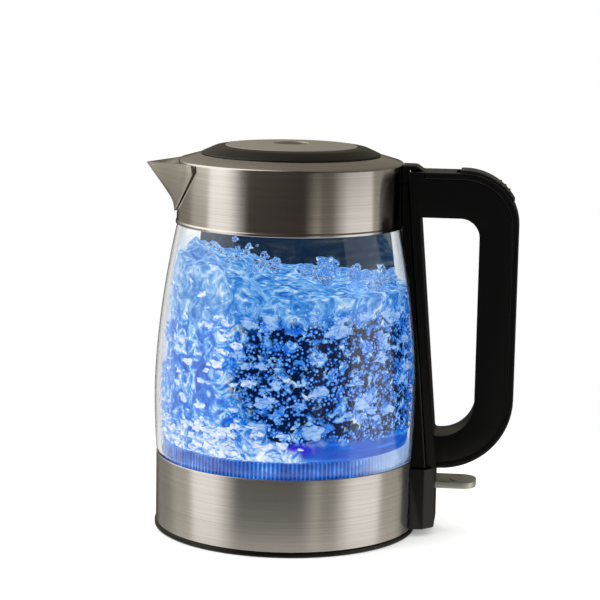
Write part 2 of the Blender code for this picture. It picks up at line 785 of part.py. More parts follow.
def hinge_pieces():
    half = ARM_HALF_WIDTH + SPRING_BAY + 0.0026
    axis = [(HINGE_X, -half, HINGE_Z), (HINGE_X, half, HINGE_Z)]
    bore = cylinder("hinge_bore", HINGE_PIN_RADIUS + RUNNING, *axis)
    bore.data.transform(Matrix.Diagonal((1.0, 1.2, 1.0, 1.0)))
    cylinder("hinge_pin", HINGE_PIN_RADIUS, *axis, SPRING)
    lid_arm(bore)
    hinge_bracket(bore)
    turns = 2
    per_turn = 12
    wire_radius = 0.0003
    coil_radius = HINGE_PIN_RADIUS + 0.0007
    start = ARM_HALF_WIDTH + GAP + wire_radius
    pitch = 0.0008
    points = []
    for i in range(turns * per_turn + 1):
        angle = 2 * math.pi * i / per_turn
        place = start + pitch * i / per_turn
        points.append((
            HINGE_X + coil_radius * math.cos(angle),
            place,
            HINGE_Z + coil_radius * math.sin(angle),
        ))
    wire("lid_spring", points, wire_radius, SPRING, resolution=1)


def lid():
    lid_ring()
    lid_disc()
    lid_badge()
    skirt = lid_skirt()
    plate = lid_inner_plate()
    seal = lid_seal()
    notch = box(
        "arm_notch",
        (SKIRT_RADIUS - 0.0060, -ARM_HALF_WIDTH - 0.0005, LID_FOOT - 0.02),
        (MOUTH_RADIUS, ARM_HALF_WIDTH + 0.0005, LID_FOOT + 0.0009),
    )
    cut(notch, skirt, plate, seal)


# ---------------------------------------------------------------- handle
def back_of_handle(height):
    share = (HANDLE_TOP - height) / (HANDLE_TOP - HANDLE_FOOT)
    return HANDLE_BACK_TOP + (HANDLE_BACK_FOOT - HANDLE_BACK_TOP) * share


def window_outline(steps=8):
    top = HANDLE_TOP - ARM_DEPTH
    foot = HANDLE_FOOT + FOOT_ARM_DEPTH
    right = GRIP_FACE - GRIP_DEPTH
    left_foot = back_of_handle(foot) + COLUMN_DEPTH
    corner_foot = min(WINDOW_CORNER_FOOT, right - left_foot - WINDOW_CORNER_BACK)
    return rounded(
        [
            (back_of_handle(top) + COLUMN_DEPTH, top, WINDOW_CORNER_BACK),
            (right, top, WINDOW_CORNER_TOP),
            (right, foot, corner_foot),
            (left_foot, foot, WINDOW_CORNER_BACK),
        ],
        steps,
    )


def handle_shell():
    inset = COVER_THICKNESS + GAP
    outline = rounded(
        [
            (back_of_handle(HANDLE_TOP), HANDLE_TOP, 0.0020),
            (COVER_START - GAP, HANDLE_TOP, 0),
            (COVER_START - GAP, HANDLE_TOP - inset, 0),
            (GRIP_FACE - inset, HANDLE_TOP - inset, CORNER_TOP - inset),
            (GRIP_FACE - inset, HANDLE_FOOT + inset, CORNER_FOOT - inset),
            (COVER_END - GAP, HANDLE_FOOT + inset, 0),
            (COVER_END - GAP, HANDLE_FOOT, 0),
            (back_of_handle(HANDLE_FOOT), HANDLE_FOOT, 0),
        ],
        10,
    )
    shell = slab("handle_shell", [outline, window_outline()], HANDLE_HALF_WIDTH, BLACK)
    left = back_of_handle(HANDLE_TOP - ARM_DEPTH) + COLUMN_DEPTH + SHELL_WALL + 0.004
    floor = HANDLE_TOP - ARM_DEPTH + SHELL_WALL
    wall_x = GRIP_FACE - GRIP_DEPTH + SHELL_WALL
    beyond = GRIP_FACE + 0.02
    channel = rounded(
        [
            (left, floor, 0),
            (left, HANDLE_TOP + 0.02, 0),
            (beyond, HANDLE_TOP + 0.02, 0),
            (beyond, HANDLE_FOOT + CORNER_FOOT, 0),
            (wall_x, HANDLE_FOOT + CORNER_FOOT, 0),
            (wall_x, floor, WINDOW_CORNER_TOP),
        ],
        6,
    )
    half = HANDLE_HALF_WIDTH - SHELL_WALL
    cut(slab("handle_channel", [channel], half), shell)
    top = HANDLE_TOP - 0.0140
    foot = HANDLE_FOOT - 0.01
    duct = [
        (back_of_handle(top) - 0.004, top),
        (back_of_handle(top) + DUCT_DEPTH, top),
        (back_of_handle(foot) + DUCT_DEPTH, foot),
        (back_of_handle(foot) - 0.004, foot),
    ]
    cut(slab("handle_duct", [duct], DUCT_HALF_WIDTH), shell)
    return shell


def handle_cover():
    """Outer strip of the handle, from the top arm round the grip to the lower arm."""
    outer = rounded(
        [
            (COVER_START, HANDLE_TOP - COVER_THICKNESS, 0),
            (COVER_START, HANDLE_TOP, 0),
            (GRIP_FACE, HANDLE_TOP, CORNER_TOP),
            (GRIP_FACE, HANDLE_FOOT, CORNER_FOOT),
            (COVER_END, HANDLE_FOOT, 0),
            (COVER_END, HANDLE_FOOT + COVER_THICKNESS, 0),
            (GRIP_FACE - COVER_THICKNESS, HANDLE_FOOT + COVER_THICKNESS, CORNER_FOOT - COVER_THICKNESS),
            (GRIP_FACE - COVER_THICKNESS, HANDLE_TOP - COVER_THICKNESS, CORNER_TOP - COVER_THICKNESS),
        ],
        12,
    )
    cover = slab("handle_cover", [outer], HANDLE_HALF_WIDTH, BLACK)
    centre = (CORNER_X, CORNER_Z)
    first = BUTTON_START + BUTTON_SWEEP_GAP
    last = BUTTON_END - math.radians(0.6)
    slot = arc(centre, CORNER_TOP + 0.006, first, last, 12)
    slot += arc(centre, CORNER_TOP - 0.008, last, first, 12)
    cut(slab("button_slot", [slot], BUTTON_HALF_WIDTH + GAP), cover)
    return cover


def button_pin_place():
    radius = CORNER_TOP + BUTTON_PROUD - BUTTON_PIN_INSET
    angle = BUTTON_END + math.radians(8.5)
    return (CORNER_X + radius * math.cos(angle), CORNER_Z + radius * math.sin(angle))


def release_button():
    """Curved thumb button on the handle's outer corner, turning on a pin at its lower end."""
    centre = (CORNER_X, CORNER_Z)
    outside = CORNER_TOP + BUTTON_PROUD
    inside = outside - BUTTON_THICKNESS
    outline = arc(centre, outside, BUTTON_START, BUTTON_END, 12)
    outline += arc(centre, inside, BUTTON_END, BUTTON_START, 12)
    button = slab("release_button", [outline], BUTTON_HALF_WIDTH, BLACK)
    x, z = button_pin_place()
    half = HANDLE_HALF_WIDTH - SHELL_WALL - 0.0008
    boss = cylinder("button_boss", BUTTON_BOSS_RADIUS, (x, -0.0060, z), (x, 0.0060, z))
    boolean(button, boss, "UNION")
    post_top = CORNER_Z + CORNER_TOP - 0.0020
    post = box(
        "button_post",
        (POST_X, -0.0030, LATCH_ROD_TOP + 0.0006),
        (POST_X + POST_DEPTH, 0.0030, post_top),
    )
    boolean(button, post, "UNION")
    bore = cylinder("button_bore", BUTTON_PIN_RADIUS + RUNNING, (x, -0.02, z), (x, 0.02, z))
    cut(bore, button)
    cylinder("button_pin", BUTTON_PIN_RADIUS, (x, -half, z), (x, half, z), SPRING)
    return button


def button_spring():
    """Compression spring between the handle's floor and the underside of the button."""
    foot = HANDLE_TOP - ARM_DEPTH + SHELL_WALL
    wire_radius = 0.0004
    coil_radius = 0.0026
    x = CORNER_X + 0.0142
    low = foot + wire_radius + GAP
    high = CORNER_Z + math.sqrt((CORNER_TOP + BUTTON_PROUD - BUTTON_THICKNESS) ** 2 - 0.0170**2)
    high -= wire_radius + GAP
    turns = 4
    per_turn = 8
    points = []
    for i in range(turns * per_turn + 1):
        angle = 2 * math.pi * i / per_turn
        share = i / (turns * per_turn)
        height = low + (high - low) * share
        points.append((x + coil_radius * math.cos(angle), coil_radius * math.sin(angle), height))
    return wire("button_spring", points, wire_radius, SPRING, resolution=1)


def latch_slider():
    """Rod in the handle's top arm; its nose reaches the lid's catch, and the button's post presses its ramp."""
    end = POST_X + POST_DEPTH + 0.0001
    outline = [
        (LATCH_NOSE_X, LATCH_NOSE_TOP),
        (LATCH_NOSE_X + 0.0028, LATCH_NOSE_TOP),
        (LATCH_NOSE_X + 0.0028, LATCH_ROD_TOP),
        (POST_X - 0.0055, LATCH_ROD_TOP),
        (POST_X - 0.0041, LATCH_ROD_TOP - LATCH_RAMP),
        (POST_X - 0.0001, LATCH_ROD_TOP - LATCH_RAMP + 0.0004),
        (end, LATCH_ROD_TOP + 0.0001),
        (end, LATCH_ROD_FOOT),
        (LATCH_NOSE_X, LATCH_ROD_FOOT),
    ]
    return slab("latch_slider", [outline], LATCH_HALF_WIDTH, DARK)


def latch_window():
    """Way for the latch's nose and rod through liner, collar, cap and handle."""
    half = LATCH_HALF_WIDTH + LATCH_ROOM
    start = min(LATCH_NOSE_X, LINER_OUTSIDE - LINER_WALL) - 0.0037
    inner = box(
        "latch_window_inner",
        (start, -half, LATCH_ROD_FOOT - LATCH_ROOM),
        (LATCH_NOSE_X + 0.0028 + LATCH_TRAVEL + GAP, half, LATCH_NOSE_TOP + LATCH_ROOM),
    )
    outer = box(
        "latch_window_outer",
        (start, -half, LATCH_ROD_FOOT - LATCH_ROOM),
        (COVER_START + 0.012, half, LATCH_ROD_TOP + LATCH_ROOM),
    )
    return inner, outer


def tapered(name, foot, top, look=None):
    """A box whose foot and top differ: each is (low x, high x, half width, height)."""
    bm = bmesh.new()
    bmesh.ops.create_cube(bm, size=2.0)
    for vert in bm.verts:
        low, high, half, height = top if vert.co.z > 0 else foot
        x = high if vert.co.x > 0 else low
        vert.co = (x, math.copysign(half, vert.co.y), height)
    return object_of(name, bm, look)


def spine():
    """Rail between the jug and the handle, wider towards its foot."""
    foot = HANDLE_FOOT + 0.0012
    top = HANDLE_TOP - 0.0070
    depth = 0.030
    return tapered(
        "spine",
        (BAND_RADIUS - depth, back_of_handle(foot) - GAP, SPINE_HALF_FOOT, foot),
        (BAND_RADIUS - depth, back_of_handle(top) - GAP, SPINE_HALF_TOP, top),
        BLACK,
    )


def spine_cap():
    """Cap over the top of the spine, reaching a little onto the handle's arm."""
    foot = HANDLE_TOP - 0.0070 + GAP
    back = back_of_handle(HANDLE_TOP) - GAP
    top = HANDLE_TOP + CAP_RISE
    outline = [
        (COLLAR_RADIUS - 0.006, top),
        (back + 0.0045, top - 0.0002),
        (back + 0.0085, HANDLE_TOP + GAP),
        (back, HANDLE_TOP + GAP),
        (back, foot),
        (COLLAR_RADIUS - 0.006, foot),
    ]
    return slab("spine_cap", [outline], CAP_HALF_WIDTH, BLACK)


# ---------------------------------------------------------------- switch
def switch_housing(lever_pin_bore):
    """Housing on the band below the handle, its corners chamfered, open towards the jug."""
    chamfer = 0.0062
    inside = BAND_RADIUS - 0.012
    half = HOUSING_HALF_WIDTH
    outline = [
        (inside, -half),
        (HOUSING_FACE - chamfer, -half),
        (HOUSING_FACE, -half + chamfer),
        (HOUSING_FACE, half - chamfer),
        (HOUSING_FACE - chamfer, half),
        (inside, half),
    ]
    middle = (HOUSING_TOP + HOUSING_FOOT) / 2
    housing = slab(
        "switch_housing",
        [outline],
        (HOUSING_TOP - HOUSING_FOOT) / 2,
        BLACK,
        along="Z",
        centre=middle,
    )
    cavity = box(
        "housing_cavity",
        (inside - 0.01, -LEVER_HALF_WIDTH - 0.0016, HOUSING_FOOT + HOUSING_WALL),
        (HOUSING_FACE - HOUSING_WALL, LEVER_HALF_WIDTH + 0.0016, HOUSING_TOP - HOUSING_WALL),
    )
    duct = box(
        "housing_duct",
        (BAND_RADIUS, -DUCT_HALF_WIDTH, HOUSING_TOP - 0.01),
        (back_of_handle(HANDLE_FOOT) + DUCT_DEPTH, DUCT_HALF_WIDTH, HOUSING_TOP + 0.01),
    )
    rise = (HOUSING_FACE - LEVER_PIN_X) * math.tan(LEVER_TRAVEL)
    half_slot = LEVER_HALF_WIDTH + 0.0006
    slot = box(
        "lever_slot",
        (LEVER_PIN_X, -half_slot, LEVER_HEIGHT - LEVER_THICKNESS / 2 - 0.0006),
        (HOUSING_FACE + 0.01, half_slot, LEVER_HEIGHT + LEVER_THICKNESS / 2 + rise + 0.0012),
    )
    cut([cavity, duct, slot, lever_pin_bore], housing)
    return housing


def lever_pieces():
    half = LEVER_HALF_WIDTH + 0.0030
    axis = [(LEVER_PIN_X, -half, LEVER_HEIGHT), (LEVER_PIN_X, half, LEVER_HEIGHT)]
    bore = cylinder("lever_bore", LEVER_PIN_RADIUS + RUNNING, *axis)
    bore.data.transform(Matrix.Diagonal((1.0, 1.05, 1.0, 1.0)))
    cylinder("lever_pin", LEVER_PIN_RADIUS, *axis, SPRING)
    end = BAND_RADIUS + LEVER_REACH
    inner = BAND_RADIUS - 0.0080
    half = LEVER_HALF_WIDTH
    outline = rounded(
        [
            (inner, -half + 0.004, 0),
            (inner, half - 0.004, 0),
            (LEVER_PIN_X - 0.004, half, 0),
            (end, half, 0.0085),
            (end, -half, 0.0085),
            (LEVER_PIN_X - 0.004, -half, 0),
        ],
        6,
    )
    lever = slab(
        "switch_lever", [outline], LEVER_THICKNESS / 2, SATIN, along="Z", centre=LEVER_HEIGHT
    )
    cut(bore, lever)
    return bore, lever


def lever_window():
    """Way for the lever through the band and the clamp ring."""
    half = LEVER_HALF_WIDTH + 0.0010
    drop = 0.016 * math.tan(LEVER_TRAVEL)
    return box(
        "lever_window",
        (PLATE_RADIUS - 0.012, -half, LEVER_HEIGHT - LEVER_THICKNESS / 2 - drop - 0.001),
        (BAND_RADIUS + 0.004, half, LEVER_HEIGHT + LEVER_THICKNESS / 2 + 0.0025),
    )


# ---------------------------------------------------------------- base
def base_moulding():
    lip = BAND_RADIUS + 0.0006
    spigot = BAND_INSIDE - GAP
    foot_inside = lip - BASE_FOOT_WIDTH
    outer = [
        (spigot, BASE_LIP + BASE_WALL_HEIGHT),
        (spigot, BASE_LIP - GAP),
        (lip, BASE_LIP - GAP),
        (lip, 0.0006),
        (lip - 0.0006, 0.0),
        (foot_inside, 0.0),
        (foot_inside, BASE_FLOOR),
        (BASE_HOLE, BASE_FLOOR),
    ]
    inner = [
        (BASE_HOLE, BASE_FLOOR + BASE_WALL),
        (spigot - BASE_WALL, BASE_FLOOR + BASE_WALL),
        (spigot - BASE_WALL, BASE_LIP + BASE_WALL_HEIGHT),
    ]
    return turned("base_moulding", outer + inner, BLACK)


def clamp_ring():
    """Ring that holds the glass's seal and takes the base's screws."""
    outside = BAND_INSIDE - GAP
    top = GLASS_BOTTOM - GAP - SEAL_THICKNESS - GAP
    foot = BASE_LIP + BASE_WALL_HEIGHT + GAP
    flange = BASE_SCREW_CIRCLE - 0.005
    profile = [
        (outside, top),
        (outside, foot),
        (flange, foot),
        (flange, foot + 0.0022),
        (outside - 0.0050, foot + 0.0022),
        (outside - 0.0050, top),
    ]
    return turned("clamp_ring", profile, DARK)


def base_screws(floor, ring):
    shank_top = BASE_LIP + BASE_WALL_HEIGHT + GAP + 0.0030
    head_top = BASE_FLOOR - GAP
    for i in range(BASE_SCREWS):
        angle = math.pi * (2 * i + 1) / BASE_SCREWS
        x = BASE_SCREW_CIRCLE * math.cos(angle)
        y = BASE_SCREW_CIRCLE * math.sin(angle)
        hole = cylinder(f"screw_hole_{i + 1}", SCREW_RADIUS + GAP, (x, y, 0.0), (x, y, shank_top + 0.01))
        cut(hole, floor, ring)
        profile = [
            (0.0, shank_top),
            (SCREW_RADIUS, shank_top),
            (SCREW_RADIUS, head_top),
            (SCREW_HEAD, head_top),
            (SCREW_HEAD, head_top - 0.0018),
            (0.0, head_top - 0.0018),
        ]
        screw = turned(f"base_screw_{i + 1}", profile, SPRING, steps=12, solid=True)
        screw.location = (x, y, 0.0)


def connector():
    """Round cordless socket under the jug: outer body with a ring groove and a centre bore."""
    foot = BASE_LIP
    top = foot + SOCKET_HEIGHT
    outside = BASE_HOLE - 0.0008
    groove_out, groove_in, bore = 0.0165, 0.0085, 0.0032
    roof = top - 0.0030
    profile = [
        (0.0, top),
        (outside, top),
        (outside, foot),
        (groove_out, foot),
        (groove_out, roof),
        (groove_in, roof),
        (groove_in, foot + 0.001),
        (bore, foot + 0.001),
        (bore, roof),
        (0.0, roof),
    ]
    turned("connector_socket", profile, DARK, steps=32, solid=True)
    pin = [
        (0.0, roof - GAP),
        (0.0015, roof - GAP),
        (0.0015, foot + 0.0030),
        (0.0, foot + 0.0022),
    ]
    turned("connector_pin", pin, BRASS, steps=12, solid=True)
    ring = [
        (0.0125, roof - GAP),
        (0.0125, foot + 0.0035),
        (0.0115, foot + 0.0035),
        (0.0115, roof - GAP),
    ]
    turned("contact_ring", ring, BRASS, steps=ROUND_SMALL)
    return top


def control(socket_top):
    """Thermostat block on the socket, with its bimetal disc under the heating plate."""
    low = socket_top + GAP
    high = low + CONTROL_HEIGHT
    half_x, half_y, corner = 0.0240, 0.0180, 0.0030
    outline = rounded(
        [
            (-half_x, -half_y, corner),
            (half_x, -half_y, corner),
            (half_x, half_y, corner),
            (-half_x, half_y, corner),
        ],
        3,
    )
    slab("thermostat_control", [outline], (high - low) / 2, DARK, along="Z", centre=(low + high) / 2)
    disc_low = high + GAP
    profile = [
        (0.0, disc_low + 0.0012),
        (0.0090, disc_low + 0.0006),
        (0.0090, disc_low),
        (0.0, disc_low + 0.0004),
    ]
    turned("bimetal_disc", profile, SPRING, steps=ROUND_SMALL, solid=True)
    return high


def heating():
    profile = [
        (0.0, PLATE_TOP),
        (PLATE_RADIUS - 0.0006, PLATE_TOP),
        (PLATE_RADIUS, PLATE_TOP - 0.0004),
        (PLATE_RADIUS, PLATE_UNDER),
        (0.0, PLATE_UNDER),
    ]
    turned("heating_plate", profile, SATIN, solid=True)
    profile = [
        (0.0, PLATE_UNDER - GAP),
        (DIFFUSER_RADIUS, PLATE_UNDER - GAP),
        (DIFFUSER_RADIUS, DIFFUSER_UNDER),
        (0.0, DIFFUSER_UNDER),
    ]
    turned("heat_diffuser", profile, ALUMINIUM, steps=32, solid=True)
    level = DIFFUSER_UNDER - GAP - ELEMENT_TUBE
    open_angle = math.radians(24)
    steps = 22
    points = []
    for i in range(steps + 1):
        angle = open_angle + (2 * math.pi - 2 * open_angle) * i / steps
        points.append((ELEMENT_RADIUS * math.cos(angle), ELEMENT_RADIUS * math.sin(angle), level))
    wire("heating_element", points, ELEMENT_TUBE, ALUMINIUM, resolution=2)
    for side in (-1, 1):
        x = ELEMENT_RADIUS * math.cos(open_angle)
        y = side * ELEMENT_RADIUS * math.sin(open_angle)
        ahead = Vector((math.sin(open_angle), -side * math.cos(open_angle), 0.0))
        start = Vector((x, y, level)) + ahead * (ELEMENT_TUBE * 0.1 + GAP)
        name = "terminal_pin_live" if side < 0 else "terminal_pin_neutral"
        bent = [start, start + ahead * 0.004, start + ahead * 0.0052 + Vector((0, 0, -0.0012))]
        bent.append(bent[-1] + Vector((0, 0, -0.004)))
        wire(name, bent, 0.0010, SPRING, resolution=1)


def plate_seal():
    """Silicone ring under the glass's foot and the heating plate's edge."""
    outside = GLASS_FOOT_RADIUS
    low = GLASS_BOTTOM - GAP - SEAL_THICKNESS
    inside = PLATE_RADIUS - 0.0040
    step = outside - GLASS_WALL - GAP
    profile = [
        (outside, GLASS_BOTTOM - GAP),
        (outside, low),
        (inside, low),
        (inside, PLATE_UNDER - GAP),
        (step, PLATE_UNDER - GAP),
        (step, GLASS_BOTTOM - GAP),
    ]
    return turned("plate_seal", profile, SILICONE)


def light_ring():
    """Clear ring inside the glass's foot, its outer face cut into upright ribs."""
    low = PLATE_TOP + GAP
    outside = GLASS_FOOT_RADIUS - GLASS_WALL - GAP
    rib = 0.0005
    inner = outside - LIGHT_RING_WALL
    outline = []
    for i in range(2 * LIGHT_RIBS):
        angle = math.pi * i / LIGHT_RIBS
        radius = outside - (rib if i % 2 else 0.0)
        outline.append((radius * math.cos(angle), radius * math.sin(angle)))
    hole = [
        (inner * math.cos(2 * math.pi * i / ROUND), inner * math.sin(2 * math.pi * i / ROUND))
        for i in range(ROUND)
    ]
    centre = low + LIGHT_RING_HEIGHT / 2
    return slab("light_ring", [outline, hole], LIGHT_RING_HEIGHT / 2, LIGHT, along="Z", centre=centre)


def led_board():
    outside = BASE_SCREW_CIRCLE + 0.0015
    inside = outside - 0.0060
    low = GLASS_BOTTOM - SEAL_THICKNESS - 0.0060
    profile = [(outside, low + 0.0012), (outside, low), (inside, low), (inside, low + 0.0012)]
    board = turned("led_board", profile, BOARD, steps=32)
    count = 6
    middle = (outside + inside) / 2
    for i in range(count):
        angle = 2 * math.pi * (i + 0.5) / count
        x, y = middle * math.cos(angle), middle * math.sin(angle)
        led = cylinder(f"led_{i + 1}", 0.0017, (x, y, low + 0.0008), (x, y, low + 0.0030), steps=8)
        boolean(board, led, "UNION")
    gap = box(
        "led_board_gap",
        (0.0, -LEVER_HALF_WIDTH - 0.002, low - 0.01),
        (2 * outside, LEVER_HALF_WIDTH + 0.002, low + 0.01),
    )
    cut(gap, board)
    return low


def leads(board_low, control_top):
    """Two leads from the thermostat block to the light's board."""
    for side, name, look in ((-1, "light_lead_live", WIRE), (1, "light_lead_neutral", DARK)):
        radius = 0.0009
        start = Vector((-0.0249, side * 0.006, control_top - 0.003))
        end_radius = BASE_SCREW_CIRCLE - 0.0015
        angle = math.pi - side * 0.35
        end = Vector((end_radius * math.cos(angle), end_radius * math.sin(angle), board_low - GAP))
        points = []
        steps = 10
        for i in range(steps + 1):
            share = i / steps
            place = start.lerp(end + Vector((0, 0, -0.0010)), share)
            place.z -= 0.006 * math.sin(math.pi * share)
            points.append(place)
        points.append(end)
        wire(name, points, radius, look, resolution=1)


def steam_tube():
    """Tube in the handle's duct that brings steam down to the thermostat block."""
    offset = (DUCT_DEPTH - GAP) / 2
    y = -DUCT_HALF_WIDTH / 2
    top = HANDLE_TOP - 0.0155
    points = []
    steps = 8
    foot = HOUSING_TOP - 0.004
    for i in range(steps + 1):
        height = top + (foot - top) * i / steps
        points.append((back_of_handle(height) + offset, y, height))
    return wire("steam_tube", points, STEAM_TUBE_RADIUS, SILICONE, resolution=2)


# ---------------------------------------------------------------- assembly
def pivot(name, place, *pieces):
    """An empty on a joint's axis that carries the pieces that move with it."""
    empty = bpy.data.objects.new(name, None)
    empty.empty_display_size = 0.01
    empty.location = place
    PARTS.objects.link(empty)
    for piece in pieces:
        obj = bpy.data.objects[piece]
        obj.parent = empty
        obj.matrix_parent_inverse = Matrix.Translation(place).inverted()


def pivots():
    button_x, button_z = button_pin_place()
    lid_pieces = ("lid_ring", "lid_disc", "lid_badge", "lid_skirt", "lid_inner_plate", "lid_seal", "lid_arm")
    pivot("lid_pivot", (HINGE_X, 0.0, HINGE_Z), *lid_pieces)
    pivot("button_pivot", (button_x, 0.0, button_z), "release_button")
    pivot("latch_pivot", (LATCH_NOSE_X, 0.0, LATCH_ROD_FOOT), "latch_slider")
    pivot("lever_pivot", (LEVER_PIN_X, 0.0, LEVER_HEIGHT), "switch_lever")
    pivot("filter_pivot", (-LINER_OUTSIDE, 0.0, GLASS_TOP), "filter_frame", "filter_mesh")


def build():
    glass_jug()
    band = lower_band()
    steel = collar()
    liner = collar_liner()
    glass_top_seal()
    spout()
    cut(spout_hole("spout_hole_steel", 0.0), steel)
    cut(spout_hole("spout_hole_liner", 0.0015), liner)
    spout_filter()

    lid()
    hinge_pieces()
    bay_half = ARM_HALF_WIDTH + 0.0062
    bay = box(
        "hinge_bay",
        (NECK_INSIDE - 0.002, -bay_half, NECK_FOOT - 0.010),
        (LINER_OUTSIDE - LINER_WALL - 0.0004, bay_half, MOUTH_EDGE + 0.01),
    )
    cut(bay, liner)

    shell = handle_shell()
    handle_cover()
    release_button()
    button_spring()
    latch_slider()
    rail = spine()
    cap = spine_cap()
    space_outline = [(0.0, SHOULDER_EDGE + 0.02), *jug_outline(GAP), (0.0, -0.01)]
    jug_space = turned("jug_space", space_outline, solid=True)
    inner_window, outer_window = latch_window()
    cut(inner_window, liner, steel, cap)
    cut(outer_window, liner, steel, cap, rail, shell)

    lever_bore, _ = lever_pieces()
    housing = switch_housing(lever_bore)
    cut(jug_space, rail, cap, housing)

    floor = base_moulding()
    ring = clamp_ring()
    base_screws(floor, ring)
    way = lever_window()
    cut(way, band, ring)
    socket_top = connector()
    control_top = control(socket_top)
    heating()
    plate_seal()
    light_ring()
    board_low = led_board()
    leads(board_low, control_top)
    steam_tube()
    pivots()


build()
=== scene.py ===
# %% [markdown]
# # A cordless glass kettle at the boil
#
# The object is a glass jug in a steel collar and a steel foot band, with a black D-shaped handle, a hinged
# lid, a folded spout and a switch lever. The design is loaded first as a fixed frame of solids. Every piece
# that shows is then modelled again, smooth and with its real edges, in the place that the frame gives.

import json
import math
import random

import bmesh
import bpy
from mathutils import Matrix, Vector, noise


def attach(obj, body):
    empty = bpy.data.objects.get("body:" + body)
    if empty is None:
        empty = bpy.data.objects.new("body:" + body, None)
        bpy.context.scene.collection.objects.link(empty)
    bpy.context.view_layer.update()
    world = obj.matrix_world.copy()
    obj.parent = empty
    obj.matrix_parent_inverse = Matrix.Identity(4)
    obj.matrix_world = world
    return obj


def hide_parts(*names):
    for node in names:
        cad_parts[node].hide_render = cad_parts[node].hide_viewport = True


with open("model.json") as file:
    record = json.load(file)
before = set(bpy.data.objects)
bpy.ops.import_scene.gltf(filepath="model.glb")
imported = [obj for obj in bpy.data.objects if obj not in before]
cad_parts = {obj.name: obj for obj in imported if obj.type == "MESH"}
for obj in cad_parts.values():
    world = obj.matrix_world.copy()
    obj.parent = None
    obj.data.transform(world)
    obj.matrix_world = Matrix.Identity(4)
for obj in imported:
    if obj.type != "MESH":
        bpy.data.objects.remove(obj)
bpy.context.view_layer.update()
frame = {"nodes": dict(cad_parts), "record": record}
bpy.ops.object.select_all(action="DESELECT")

# %% [markdown]
# ## The camera
#
# The kettle is seen from slightly above its lid through a long lens, which keeps its upright sides upright.
# The lens is 127 mm, a little over a metre away, and the camera leans by one degree.

# %% The camera
CAMERA_TURN = math.radians(6)          # round the jug, towards the handle
CAMERA_PLACE = (0.0066, -1.2204, 0.3333)
CAMERA_PITCH = math.radians(9.277)
CAMERA_ROLL = math.radians(1.091)
CAMERA_LENS = 126.8

turn = Matrix.Rotation(CAMERA_TURN, 3, "Z")
aim = turn @ Matrix.Rotation(math.radians(90) - CAMERA_PITCH, 3, "X") @ Matrix.Rotation(CAMERA_ROLL, 3, "Z")
bpy.ops.object.camera_add(location=turn @ Vector(CAMERA_PLACE), rotation=aim.to_euler())
camera = bpy.context.object
camera.data.lens = CAMERA_LENS
camera.data.clip_start = 0.05
bpy.context.scene.camera = camera
bpy.context.scene.view_settings.view_transform = "Standard"
print("camera at", [round(value, 3) for value in camera.location])

# %% [markdown]
# ## Colours and nodes
#
# Colours are written as the sRGB hex values that a colour picker shows, and one function turns them to the
# linear values that the shader takes. One more function adds a node, sets it and links it.

# %% Helpers for materials
def srgb(code):
    """A colour such as #c0ffee as linear red, green, blue and alpha."""
    parts = [int(code[i:i + 2], 16) / 255 for i in (1, 3, 5)]
    linear = [part / 12.92 if part <= 0.04045 else ((part + 0.055) / 1.055) ** 2.4 for part in parts]
    return (*linear, 1.0)


def add_node(tree, kind, settings, inputs, outputs=None):
    """Adds a node, sets its properties, fills its inputs with values or links, and links its outputs.

    A colour ramp takes its (place, colour) stops as the setting "stops".
    """
    made = tree.nodes.new(kind)
    for name, value in settings.items():
        if name == "stops":
            elements = made.color_ramp.elements
            while len(elements) < len(value):
                elements.new(1.0)
            for element, (stop, code) in zip(elements, value):
                element.position = stop
                element.color = srgb(code)
        else:
            setattr(made, name, value)
    for name, value in inputs.items():
        if isinstance(value, bpy.types.NodeSocket):
            tree.links.new(value, made.inputs[name])
        else:
            made.inputs[name].default_value = value
    for name, socket in (outputs or {}).items():
        tree.links.new(made.outputs[name], socket)
    return made


def finish_of(name, colour, roughness, metallic=0.0, **more):
    """A material with its Principled shader set, as (material, node tree, shader)."""
    made = bpy.data.materials.new(name)
    made.use_nodes = True
    shader = made.node_tree.nodes["Principled BSDF"]
    settings = {"Base Color": srgb(colour), "Roughness": roughness, "Metallic": metallic}
    settings.update({key.replace("_", " "): value for key, value in more.items()})
    for key, value in settings.items():
        shader.inputs[key].default_value = value
    return made, made.node_tree, shader


def grain(tree, scale, detail=2.0):
    """A noise pattern on Object coordinates, stretched by a scale for each axis, in patterns per metre."""
    place = add_node(tree, "ShaderNodeTexCoord", {}, {})
    stretch = add_node(tree, "ShaderNodeMapping", {}, {"Vector": place.outputs["Object"], "Scale": scale})
    pattern = add_node(
        tree, "ShaderNodeTexNoise", {},
        {"Vector": stretch.outputs["Vector"], "Scale": 1.0, "Detail": detail},
    )
    return pattern.outputs["Fac"]

# %% [markdown]
# ## The studio
#
# Steel shows nothing but what stands round it. The kettle is therefore set in a tent of grey and white
# cards, which only reflections see. The bright cards make the upright streaks on collar and band, and the
# dark card behind the camera makes the dark middle. The floor and the surroundings are plain white. The
# floor is a sheet of paper that fades out within a foot of the kettle, so that no horizon shows.

# %% The world and the floor
world = bpy.data.worlds.new("white_studio")
world.use_nodes = True
world.node_tree.nodes["Background"].inputs["Color"].default_value = (1.0, 1.0, 1.0, 1.0)
world.node_tree.nodes["Background"].inputs["Strength"].default_value = 1.0
bpy.context.scene.world = world

bpy.ops.mesh.primitive_plane_add(size=8.0, location=(0.0, 0.0, -0.0002))
floor = bpy.context.object
floor.name = "floor"
paper, tree, shader = finish_of("white_paper_floor", "#f6f6f5", 0.9)
shader.inputs["Emission Color"].default_value = srgb("#ffffff")
shader.inputs["Emission Strength"].default_value = 0.22
add_node(
    tree, "ShaderNodeBump", {},
    {"Height": grain(tree, (900.0, 900.0, 900.0)), "Distance": 0.00002, "Strength": 1.0},
    {"Normal": shader.inputs["Normal"]},
)
